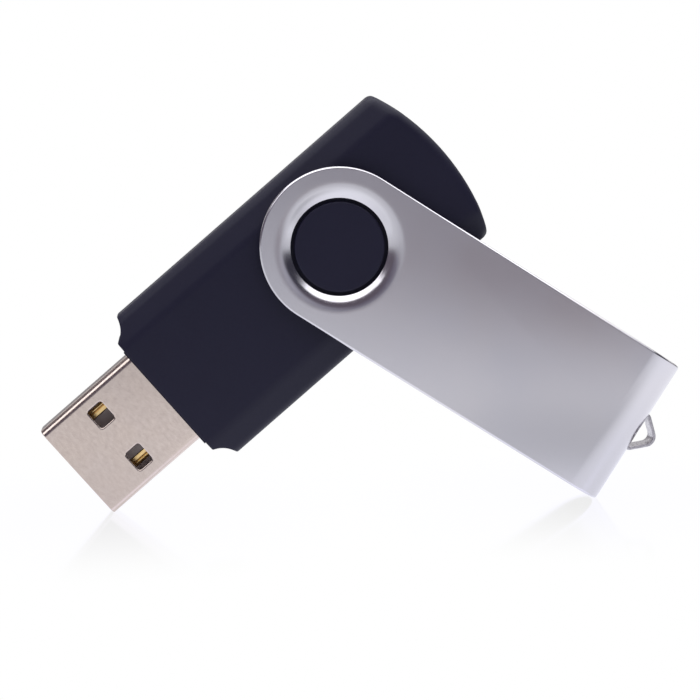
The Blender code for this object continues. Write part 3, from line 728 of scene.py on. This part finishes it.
def add_half_plate(bm, rim, bend_row, hand):
    """The flat plate on one side of the centre line, as one face round half of the dish."""
    half_turn = RING_STEPS // 2
    quarter = RING_STEPS // 4
    outline = [head_point(hand * 360.0 * step / RING_STEPS) for step in range(quarter, half_turn + 1)]
    corners = [rim[hand * step % RING_STEPS] for step in range(half_turn, -1, -1)]
    corners += [bend_row[1], bend_row[1 + hand]]
    corners += [bm.verts.new((x, y, CLIP_HALF_HEIGHT)) for x, y in outline]
    bm.faces.new(corners)


def clip_skin():
    """Outer skin of the clip: a plate with its dished hole and half of the end bend, then mirrored."""
    bm = bmesh.new()
    rings = []
    for radius, height in [(DISH_RADIUS + DISH_RIM, CLIP_HALF_HEIGHT)] + dish_profile():
        circle = arc((0.0, 0.0), radius, 0.0, 360.0, RING_STEPS)[:-1]
        rings.append([bm.verts.new((x, y, height)) for x, y in circle])
    for outer, inner in zip(rings, rings[1:]):
        for step in range(RING_STEPS):
            after = (step + 1) % RING_STEPS
            bm.faces.new((outer[step], outer[after], inner[after], inner[step]))
    bend_center = (CLIP_LENGTH - CLIP_BEND_RADIUS, CLIP_HALF_HEIGHT - CLIP_BEND_RADIUS)
    side_view = arc(bend_center, CLIP_BEND_RADIUS, 90.0, 0.0, BEND_STEPS) + [(CLIP_LENGTH, 0.0)]
    rows = [
        [bm.verts.new((x, hand * CLIP_HALF_WIDTH, z)) for hand in (-1, 0, 1)]
        for x, z in side_view
    ]
    for hand in (-1, 1):
        add_half_plate(bm, rings[0], rows[0], hand)
        for near, far in zip(rows, rows[1:]):
            bm.faces.new((near[1], far[1], far[1 + hand], near[1 + hand]))
    bmesh.ops.remove_doubles(bm, verts=bm.verts, dist=WELD_DISTANCE)
    everything = bm.verts[:] + bm.edges[:] + bm.faces[:]
    bmesh.ops.mirror(bm, geom=everything, axis="Z", merge_dist=WELD_DISTANCE)
    bmesh.ops.recalc_face_normals(bm, faces=bm.faces)
    mark_edges(bm)
    return bm


def mark_edges(bm):
    """Bevel weights: the outline's edge is rounded in full, and the lip of each hole hardly at all."""
    weight = bm.edges.layers.float.new("bevel_weight_edge")
    for edge in bm.edges:
        if edge.is_boundary:
            on_lip = edge.verts[0].co.xy.length < DISH_RADIUS
            edge[weight] = LIP_EDGE / CLIP_EDGE if on_lip else 1.0


def add_clip(material):
    clip = add_object("swivel_clip_fine", clip_skin(), CLIP)
    sheet = clip.modifiers.new("sheet", "SOLIDIFY")
    sheet.thickness = CLIP_SHEET
    sheet.offset = -1.0
    sheet.use_even_offset = True
    edge = clip.modifiers.new("edge", "BEVEL")
    edge.width = CLIP_EDGE
    edge.segments = 3
    edge.profile = CLIP_EDGE_PROFILE
    edge.limit_method = "WEIGHT"
    bake(clip)
    low, high = extent("lanyard_loop", CLIP)
    side_shift = (low.y + high.y) / 2
    half_y = LOOP_HALF_SPAN + LOOP_SHEET / 2 + FIT_GAP
    half_z = high.z + FIT_GAP
    outline = rounded_rectangle(half_y, half_z, SLOT_CORNER, 6)
    reach = (CLIP_LENGTH - SLOT_REACH, CLIP_LENGTH + SLOT_REACH)
    slot = loft([[(x, side_shift + y, z) for y, z in outline] for x in reach])
    combine(clip, "DIFFERENCE", slot)
    complete(clip, material, "clip", ["swivel_clip"])


def add_loop(material):
    """A strip bent to a triangle with a round apex, and with feet turned out behind the end wall."""
    low, high = extent("lanyard_loop", CLIP)
    side_shift = (low.y + high.y) / 2
    foot_x = low.x + LOOP_SHEET / 2
    knee_x = CLIP_LENGTH + LOOP_KNEE_REACH
    apex_x = knee_x + LOOP_HALF_SPAN * math.tan(math.radians(LOOP_LEG_DEG))
    toe = (foot_x, (high.y - low.y) / 2)
    heel = (foot_x, LOOP_HALF_SPAN)
    knee = (knee_x, LOOP_HALF_SPAN)
    apex = (apex_x, 0.0)
    path = [toe]
    path += rounded_corner(toe, heel, knee, LOOP_BEND_RADIUS, 8)
    path += rounded_corner(heel, knee, apex, LOOP_BEND_RADIUS, 6)
    path += rounded_corner(knee, apex, (knee_x, -LOOP_HALF_SPAN), LOOP_APEX_RADIUS, 20)[:11]
    path += [(x, -y) for x, y in reversed(path[:-1])]
    outline = [(x, y + side_shift) for x, y in ribbon_outline(path, LOOP_SHEET)]
    loop = add_object("lanyard_loop_fine", upright_prism(outline, low.z, high.z), CLIP)
    edge = loop.modifiers.new("edge", "BEVEL")
    edge.width = LOOP_EDGE
    edge.segments = 3
    edge.limit_method = "ANGLE"
    edge.angle_limit = math.radians(60.0)
    bake(loop)
    complete(loop, material, "clip", ["lanyard_loop"])


# ---- Materials

def add_node(tree, kind, inputs=None, **settings):
    """A shader node with its settings, its numbers and what feeds it."""
    node = tree.nodes.new(kind)
    for key, value in settings.items():
        setattr(node, key, value)
    for socket, value in (inputs or {}).items():
        if isinstance(value, bpy.types.NodeSocket):
            tree.links.new(value, node.inputs[socket])
        else:
            node.inputs[socket].default_value = value
    return node


def new_material(name, **sockets):
    """A material and its shader, with the values that are even all over the surface."""
    material = bpy.data.materials.new(name)
    material.use_nodes = True
    shader = material.node_tree.nodes["Principled BSDF"]
    for socket, value in sockets.items():
        shader.inputs[socket.replace("_", " ").title().replace("Ior", "IOR")].default_value = value
    return material, material.node_tree, shader


def object_coordinates(tree):
    return add_node(tree, "ShaderNodeTexCoord").outputs["Object"]


def stretched_coordinates(tree, matrix, stretch):
    """Coordinates along the axes of a local frame, each with its own scale."""
    turn = matrix.to_3x3().inverted().to_euler()
    place = object_coordinates(tree)
    turned_place = add_node(tree, "ShaderNodeMapping", {"Vector": place, "Rotation": turn}).outputs[0]
    return add_node(tree, "ShaderNodeMapping", {"Vector": turned_place, "Scale": stretch}).outputs[0]


def noise(tree, place, grain, detail=2.0, roughness=0.5):
    """Noise whose lumps are about as wide as the grain, in metres."""
    inputs = {"Vector": place, "Scale": 1.0 / grain, "Detail": detail, "Roughness": roughness}
    return add_node(tree, "ShaderNodeTexNoise", inputs).outputs["Fac"]


def remap(tree, value, low, high, from_low=0.3, from_high=0.7):
    inputs = {"Value": value, "From Min": from_low, "From Max": from_high, "To Min": low, "To Max": high}
    return add_node(tree, "ShaderNodeMapRange", inputs).outputs["Result"]


def blend_colors(tree, factor, first, second):
    mix = add_node(tree, "ShaderNodeMix", {0: factor}, data_type="RGBA")
    for index, color in ((6, first), (7, second)):
        if isinstance(color, bpy.types.NodeSocket):
            tree.links.new(color, mix.inputs[index])
        else:
            mix.inputs[index].default_value = (*color, 1.0)
    return mix.outputs[2]


def set_bump(tree, shader, height, depth, strength=1.0):
    bump = add_node(tree, "ShaderNodeBump", {"Height": height, "Distance": depth, "Strength": strength})
    tree.links.new(bump.outputs["Normal"], shader.inputs["Normal"])


def soft_touch_black():
    material, tree, shader = new_material("soft_touch_black", specular_ior_level=0.28)
    place = object_coordinates(tree)
    cloud = noise(tree, place, 6.0 * MM)
    grain = noise(tree, place, 0.12 * MM)
    speck = noise(tree, place, 0.30 * MM, 3.0)
    patch = remap(tree, cloud, 0.0, 1.0)
    base = blend_colors(tree, patch, (0.0058, 0.0050, 0.0214), (0.0068, 0.0060, 0.0234))
    color = blend_colors(tree, remap(tree, speck, 0.0, 0.35), base, (0.009, 0.0085, 0.024))
    tree.links.new(color, shader.inputs["Base Color"])
    tree.links.new(remap(tree, grain, 0.44, 0.56), shader.inputs["Roughness"])
    set_bump(tree, shader, grain, 0.004 * MM, 0.5)
    return material


def satin_aluminium():
    material, tree, shader = new_material("satin_aluminium", metallic=1.0)
    place = object_coordinates(tree)
    cloud = noise(tree, place, 9.0 * MM, 1.5)
    grain = noise(tree, place, 0.09 * MM, 2.0)
    color = blend_colors(tree, remap(tree, cloud, 0.0, 1.0), (0.66, 0.635, 0.665), (0.645, 0.63, 0.675))
    color = blend_colors(tree, remap(tree, grain, 0.0, 0.22), color, (0.54, 0.53, 0.57))
    tree.links.new(color, shader.inputs["Base Color"])
    tree.links.new(remap(tree, cloud, 0.18, 0.21), shader.inputs["Roughness"])
    set_bump(tree, shader, grain, 0.0025 * MM, 0.5)
    return material


def plug_nickel():
    material, tree, shader = new_material("plug_nickel", metallic=1.0)
    place = object_coordinates(tree)
    cloud = noise(tree, place, 4.0 * MM, 2.0)
    mottle = noise(tree, stretched_coordinates(tree, DRIVE, (1.0, 0.5, 1.0)), 0.38 * MM, 3.0, 0.6)
    pit = noise(tree, place, 0.12 * MM, 2.0)
    color = blend_colors(tree, remap(tree, cloud, 0.0, 1.0), (0.640, 0.540, 0.480), (0.628, 0.536, 0.488))
    color = blend_colors(tree, remap(tree, mottle, 0.0, 0.32), color, (0.52, 0.430, 0.378))
    tree.links.new(color, shader.inputs["Base Color"])
    tree.links.new(remap(tree, mottle, 0.13, 0.24), shader.inputs["Roughness"])
    set_bump(tree, shader, remap(tree, pit, 0.0, 1.0), 0.003 * MM, 0.5)
    return material


def loop_steel():
    material, tree, shader = new_material("loop_steel", metallic=1.0)
    place = object_coordinates(tree)
    speck = noise(tree, place, 0.22 * MM, 3.0, 0.6)
    color = blend_colors(tree, remap(tree, speck, 0.0, 1.0), (0.62, 0.60, 0.63), (0.36, 0.34, 0.37))
    tree.links.new(color, shader.inputs["Base Color"])
    tree.links.new(remap(tree, speck, 0.22, 0.42), shader.inputs["Roughness"])
    set_bump(tree, shader, speck, 0.012 * MM, 0.6)
    return material


def moulded_plastic(name, color, speckle, roughness, grain=0.15 * MM):
    """A plain moulded or fired surface: fine speckle, grain and uneven gloss."""
    material, tree, shader = new_material(name)
    place = object_coordinates(tree)
    grit = noise(tree, place, grain)
    mixed = blend_colors(tree, remap(tree, grit, 0.0, 1.0), color, speckle)
    tree.links.new(mixed, shader.inputs["Base Color"])
    tree.links.new(remap(tree, grit, roughness - 0.05, roughness + 0.07), shader.inputs["Roughness"])
    set_bump(tree, shader, grit, 0.006 * MM, 0.5)
    return material


def plated_metal(name, color, shade, roughness):
    """A bright plated or drawn metal surface with faint lengthwise lines."""
    material, tree, shader = new_material(name, metallic=1.0)
    lines = noise(tree, stretched_coordinates(tree, DRIVE, (0.08, 1.0, 1.0)), 0.08 * MM)
    mixed = blend_colors(tree, remap(tree, lines, 0.0, 1.0), color, shade)
    tree.links.new(mixed, shader.inputs["Base Color"])
    tree.links.new(remap(tree, lines, roughness - 0.05, roughness + 0.05), shader.inputs["Roughness"])
    set_bump(tree, shader, lines, 0.002 * MM, 0.5)
    return material


def drive_coordinates(tree, center):
    """Coordinates along the drive's own axes, from a centre."""
    inputs = {0: object_coordinates(tree), 1: center}
    offset = add_node(tree, "ShaderNodeVectorMath", inputs, operation="SUBTRACT").outputs[0]
    turn = DRIVE.to_3x3().inverted().to_euler()
    return add_node(tree, "ShaderNodeMapping", {"Vector": offset, "Rotation": turn}).outputs[0]


def board_green():
    """Solder mask over copper: traces show as paler lines, and copper under the mask as broad paler patches."""
    material, tree, shader = new_material("board_green")
    low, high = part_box("circuit_board")
    place = drive_coordinates(tree, (low + high) / 2)
    bend = noise(tree, place, 5.0 * MM, 0.0)
    inputs = {"Vector": place, "Scale": 380.0, "Distortion": 5.0, "Detail Scale": 0.6}
    wave = add_node(tree, "ShaderNodeTexWave", inputs, bands_direction="Y").outputs["Fac"]
    trace = remap(tree, wave, 0.0, 1.0, 0.80, 0.86)
    fill = remap(tree, bend, 0.0, 1.0, 0.52, 0.56)
    weave = noise(tree, place, 0.25 * MM)
    color = blend_colors(tree, trace, (0.010, 0.085, 0.032), (0.022, 0.150, 0.060))
    color = blend_colors(tree, fill, color, (0.016, 0.125, 0.048))
    tree.links.new(color, shader.inputs["Base Color"])
    tree.links.new(remap(tree, weave, 0.28, 0.42), shader.inputs["Roughness"])
    set_bump(tree, shader, trace, 0.02 * MM, 0.6)
    return material


def capped_ceramic(name, node, body, gloss):
    """A chip component: ceramic in the middle, tinned caps at both ends."""
    material, tree, shader = new_material(name)
    low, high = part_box(node)
    place = drive_coordinates(tree, (low + high) / 2)
    start, end = extent(node, DRIVE)
    along = add_node(tree, "ShaderNodeSeparateXYZ", {0: place}).outputs[0]
    reach = add_node(tree, "ShaderNodeMath", {0: along}, operation="ABSOLUTE").outputs[0]
    edge = 0.27 * (end.x - start.x)
    cap = remap(tree, reach, 0.0, 1.0, edge, edge + 0.02 * MM)
    grit = noise(tree, place, 0.10 * MM)
    ceramic = blend_colors(tree, grit, body, tuple(0.7 * share for share in body))
    tree.links.new(blend_colors(tree, cap, ceramic, (0.62, 0.62, 0.60)), shader.inputs["Base Color"])
    tree.links.new(cap, shader.inputs["Metallic"])
    tree.links.new(remap(tree, grit, gloss - 0.05, gloss + 0.10), shader.inputs["Roughness"])
    set_bump(tree, shader, grit, 0.004 * MM, 0.5)
    return material


def clear_lens():
    material, tree, shader = new_material("led_clear", ior=1.5)
    grit = noise(tree, object_coordinates(tree), 0.4 * MM)
    color = blend_colors(tree, remap(tree, grit, 0.0, 1.0), (0.80, 0.82, 0.72), (0.70, 0.72, 0.62))
    tree.links.new(color, shader.inputs["Base Color"])
    tree.links.new(remap(tree, grit, 0.10, 0.20), shader.inputs["Roughness"])
    return material


def finish_inner_nodes():
    """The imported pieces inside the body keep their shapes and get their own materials."""
    epoxy = moulded_plastic("epoxy_black", (0.016, 0.016, 0.017), (0.034, 0.034, 0.036), 0.52, 0.10 * MM)
    ferrite = moulded_plastic("ferrite_grey", (0.085, 0.085, 0.090), (0.13, 0.13, 0.135), 0.48)
    materials = {
        "circuit_board": board_green(),
        "flash_chip": epoxy,
        "controller_chip": epoxy,
        "crystal": plated_metal("crystal_can", (0.80, 0.80, 0.78), (0.66, 0.66, 0.65), 0.24),
        "status_led": clear_lens(),
        "ferrite_bead": ferrite,
    }
    for number in range(1, 5):
        node = f"capacitor_{number}"
        materials[node] = capped_ceramic(node, node, (0.42, 0.31, 0.20), 0.40)
    for number in range(1, 4):
        node = f"resistor_{number}"
        materials[node] = capped_ceramic(node, node, (0.02, 0.02, 0.024), 0.25)
    for node, material in materials.items():
        frame["nodes"][node].material_slots[0].material = material


# ---- Stage, light and camera

FLOOR_HALF_SIZE = 3.0
FLOOR_GLOW = (0.775, 0.790, 0.830)
FLOOR_DIM = (0.150, 0.101, 0.122)
DIM_PLACE = (79.0 * MM, -406.0 * MM, 0.0)
DIM_STRETCH = (4.0, 1.0, 0.0)
DIM_INNER = 140.0 * MM
DIM_OUTER = 322.0 * MM
FADE_NEAR = 250.0 * MM
FADE_FAR = 700.0 * MM
FADE_SHARE = 0.70
REAR_NEAR = 100.0 * MM
REAR_FAR = 220.0 * MM
REAR_SHARE = 0.35
CLOSE_STRETCH = (0.6, 1.0, 0.0)
CLOSE_INNER = 25.0 * MM
CLOSE_OUTER = 125.0 * MM
CLOSE_GAIN = 1.45
# Painted shade that dims the floor's glow round the two corners the object stands on: its stretch, inner and outer
# reach, and for each corner its place and the glow left at its middle
CORNER_STRETCH = (1.0, 0.8, 0.0)
CORNER_INNER = 6.0 * MM
CORNER_OUTER = 35.0 * MM
PAINTED_CONTACT_SHADES = (((30.0 * MM, -47.0 * MM, 0.0), 0.58), ((-36.0 * MM, -32.0 * MM, 0.0), 0.84))
MIRROR_SHARE = 0.16
MIRROR_REACH = 36.0 * MM
MIRROR_TINT = (0.95, 0.94, 1.30)
MIRROR_ROUGHNESS = 0.10

# Colours of the room, and where one gives way to the next along the unit direction
WHITE = (1.0, 1.0, 1.0)
ROOM_COLOR = (0.125, 0.105, 0.135)
RIGHT_WALL_COLOR = (0.030, 0.028, 0.045)
HORIZON_LEFT = (0.17, 0.155, 0.21)
HORIZON_RIGHT = (0.47, 0.47, 0.54)
BACKDROP_COLOR = (0.30, 0.28, 0.30)
HORIZON_BLEND = (0.0, 0.26)
HORIZON_ENDS = (0.42, 0.62)
HORIZON_TOP = (0.12, 0.28)
RIGHT_WALL_START = (0.30, 0.62)
BACKDROP_START = (0.15, 0.60)
WHITE_BAND_LOW = (0.12, 0.15)
WHITE_BAND_HIGH = (0.30, 0.42)

# Lamps: place across and along from the object's middle, size and radiance
LAMP_HEIGHT = 0.50
LAMP_COLOR = (0.97, 0.98, 1.0)
LAMPS = (
    ("overhead", 0.075, -0.015, (1.05, 1.03), 1.95),
    ("left_front", -0.66, -0.40, (0.45, 0.50), 2.00),
    ("right_front", 0.72, -0.38, (0.30, 0.30), 0.45),
)


def map_smooth(tree, value, from_low, from_high, low, high):
    inputs = {"Value": value, "From Min": from_low, "From Max": from_high, "To Min": low, "To Max": high}
    return add_node(tree, "ShaderNodeMapRange", inputs, interpolation_type="SMOOTHSTEP").outputs["Result"]


def combine_values(tree, operation, first, second):
    return add_node(tree, "ShaderNodeMath", {0: first, 1: second}, operation=operation).outputs[0]


def contact_point(node):
    """Where a node touches the floor."""
    vertices = frame["nodes"][node].data.vertices
    return min((vertex.co for vertex in vertices), key=lambda place: place.z)


def stretched_gap(tree, place, center, stretch):
    """Distance from a centre, with each axis at its own scale."""
    kind = "ShaderNodeVectorMath"
    offset = add_node(tree, kind, {0: place, 1: center}, operation="SUBTRACT").outputs[0]
    scaled = add_node(tree, kind, {0: offset, 1: stretch}, operation="MULTIPLY").outputs[0]
    return add_node(tree, kind, {0: scaled}, operation="LENGTH").outputs["Value"]


def mirrored_floor(tree, place):
    """What the object mirrors of the floor: bright close by, apart from a painted shade near each contact point,
    dimmer far off and behind, and dimmest in a patch in front to the right."""
    gap = stretched_gap(tree, place, DIM_PLACE, DIM_STRETCH)
    color = blend_colors(tree, map_smooth(tree, gap, DIM_INNER, DIM_OUTER, 0.0, 1.0), FLOOR_DIM, FLOOR_GLOW)
    depth = add_node(tree, "ShaderNodeSeparateXYZ", {0: place}).outputs[1]
    fade = map_smooth(tree, depth, -FADE_FAR, -FADE_NEAR, FADE_SHARE, 1.0)
    rear_fade = map_smooth(tree, depth, REAR_NEAR, REAR_FAR, 1.0, REAR_SHARE)
    fade = combine_values(tree, "MULTIPLY", fade, rear_fade)
    close = stretched_gap(tree, place, (0.0, 0.0, 0.0), CLOSE_STRETCH)
    gain = map_smooth(tree, close, CLOSE_INNER, CLOSE_OUTER, CLOSE_GAIN, 1.0)
    strength = combine_values(tree, "MULTIPLY", fade, gain)
    # Painted shade: the floor's glow is dimmed round each point that the object stands on
    for center, painted_shade_gain in PAINTED_CONTACT_SHADES:
        gap = stretched_gap(tree, place, center, CORNER_STRETCH)
        shade = map_smooth(tree, gap, CORNER_INNER, CORNER_OUTER, painted_shade_gain, 1.0)
        strength = combine_values(tree, "MULTIPLY", strength, shade)
    return add_node(tree, "ShaderNodeEmission", {"Color": color, "Strength": strength}).outputs[0]


def contact_share(tree, place):
    """How strongly the floor mirrors: only close to the two points that the object stands on."""
    shares = []
    for node in ("plug_shell", "swivel_clip"):
        gap = stretched_gap(tree, place, contact_point(node), (1.0, 1.0, 0.0))
        shares.append(map_smooth(tree, gap, 0.0, MIRROR_REACH, MIRROR_SHARE, 0.0))
    return combine_values(tree, "MAXIMUM", *shares)


def add_floor():
    """A plain white floor, with a faint mirror image round the two contact points."""
    bm = bmesh.new()
    bmesh.ops.create_grid(bm, x_segments=1, y_segments=1, size=FLOOR_HALF_SIZE)
    floor = add_object("floor", bm, Matrix.Identity(4))
    material = bpy.data.materials.new("floor_white")
    material.use_nodes = True
    tree = material.node_tree
    tree.nodes.clear()
    seen = add_node(tree, "ShaderNodeLightPath").outputs["Is Camera Ray"]
    place = object_coordinates(tree)
    white = add_node(tree, "ShaderNodeEmission", {"Color": (*WHITE, 1.0)}).outputs[0]
    mirrored = mirrored_floor(tree, place)
    glow = add_node(tree, "ShaderNodeMixShader", {0: seen, 1: mirrored, 2: white}).outputs[0]
    inputs = {"Color": (*MIRROR_TINT, 1.0), "Roughness": MIRROR_ROUGHNESS}
    mirror = add_node(tree, "ShaderNodeBsdfGlossy", inputs).outputs[0]
    share = contact_share(tree, place)
    surface = add_node(tree, "ShaderNodeMixShader", {0: share, 1: glow, 2: mirror}).outputs[0]
    add_node(tree, "ShaderNodeOutputMaterial", {"Surface": surface})
    floor.data.materials.append(material)


def add_room():
    """White to the camera. In reflections: dim walls, darkest on the right, a paler horizon in front, most
    of all on the right, and a dim backdrop behind with a white band above the floor."""
    world = bpy.data.worlds.new("studio")
    bpy.context.scene.world = world
    world.use_nodes = True
    tree = world.node_tree
    tree.nodes.clear()
    seen = add_node(tree, "ShaderNodeLightPath").outputs["Is Camera Ray"]
    way = add_node(tree, "ShaderNodeTexCoord").outputs["Generated"]
    aside, ahead, above = add_node(tree, "ShaderNodeSeparateXYZ", {0: way}).outputs
    swing = add_node(tree, "ShaderNodeMath", {0: aside}, operation="ABSOLUTE").outputs[0]
    rightness = map_smooth(tree, aside, *HORIZON_BLEND, 0.0, 1.0)
    horizon = blend_colors(tree, rightness, HORIZON_LEFT, HORIZON_RIGHT)
    in_front = map_smooth(tree, swing, *HORIZON_ENDS, 1.0, 0.0)
    level = map_smooth(tree, above, *HORIZON_TOP, 1.0, 0.0)
    on_horizon = combine_values(tree, "MULTIPLY", in_front, level)
    on_right = map_smooth(tree, aside, *RIGHT_WALL_START, 0.0, 1.0)
    walls = blend_colors(tree, on_right, ROOM_COLOR, RIGHT_WALL_COLOR)
    room = blend_colors(tree, on_horizon, walls, horizon)
    low_edge = map_smooth(tree, above, *WHITE_BAND_LOW, 0.0, 1.0)
    high_edge = map_smooth(tree, above, *WHITE_BAND_HIGH, 1.0, 0.0)
    band = combine_values(tree, "MULTIPLY", low_edge, high_edge)
    backdrop = blend_colors(tree, band, BACKDROP_COLOR, WHITE)
    behind = map_smooth(tree, ahead, *BACKDROP_START, 0.0, 1.0)
    room = blend_colors(tree, behind, room, backdrop)
    shown = blend_colors(tree, seen, room, WHITE)
    background = add_node(tree, "ShaderNodeBackground", {"Color": shown})
    add_node(tree, "ShaderNodeOutputWorld", {"Surface": background.outputs[0]})


def add_softbox(name, place, aim, size, radiance):
    """A rectangular lamp of even radiance, aimed at a point."""
    light = bpy.data.lights.new(name, "AREA")
    light.shape = "RECTANGLE"
    light.size, light.size_y = size
    light.energy = radiance * math.pi * size[0] * size[1]
    light.color = LAMP_COLOR
    lamp = bpy.data.objects.new(name, light)
    lamp.location = place
    lamp.rotation_euler = (Vector(aim) - Vector(place)).to_track_quat("-Z", "Y").to_euler()
    lamp.visible_camera = False
    bpy.context.scene.collection.objects.link(lamp)


def add_lights():
    """Lamps that face straight down, all at one height."""
    low, high = cad_box
    middle = (low + high) / 2
    for name, across, along, size, radiance in LAMPS:
        place = middle + Vector((across, along, LAMP_HEIGHT))
        add_softbox(name, place, place - Vector((0.0, 0.0, 1.0)), size, radiance)


def add_camera():
    camera = bpy.data.objects.new("camera", bpy.data.cameras.new("camera"))
    azimuth = math.radians(CAMERA_AZIMUTH_DEG)
    elevation = math.radians(CAMERA_ELEVATION_DEG)
    level = math.cos(elevation)
    back = Vector((math.sin(azimuth) * level, -math.cos(azimuth) * level, math.sin(elevation)))
    camera.data.lens = CAMERA_LENS
    camera.data.clip_start = 10 * MM
    camera.data.clip_end = 10.0
    camera.location = Vector(CAMERA_AIM) + back * CAMERA_DISTANCE
    roll = Matrix.Rotation(math.radians(CAMERA_ROLL_DEG), 3, "Z")
    turn = (-back).to_track_quat("-Z", "Y").to_matrix() @ roll
    camera.rotation_euler = turn.to_euler()
    bpy.context.scene.collection.objects.link(camera)
    bpy.context.scene.camera = camera


def main():
    add_camera()
    black = soft_touch_black()
    gold = plated_metal("contact_gold", (0.86, 0.62, 0.30), (0.72, 0.50, 0.22), 0.22)
    plastic = moulded_plastic("insulator_plastic", (0.40, 0.34, 0.325), (0.44, 0.38, 0.36), 0.45)
    add_shell("top_shell", 1, black)
    add_shell("bottom_shell", -1, black)
    add_plug_shell(plug_nickel())
    add_insulator(plastic)
    for name in CONTACTS:
        add_contact(name, gold)
    add_clip(satin_aluminium())
    add_loop(loop_steel())
    finish_inner_nodes()
    add_floor()
    add_room()
    add_lights()
    bpy.context.scene.view_settings.view_transform = "Standard"


main()
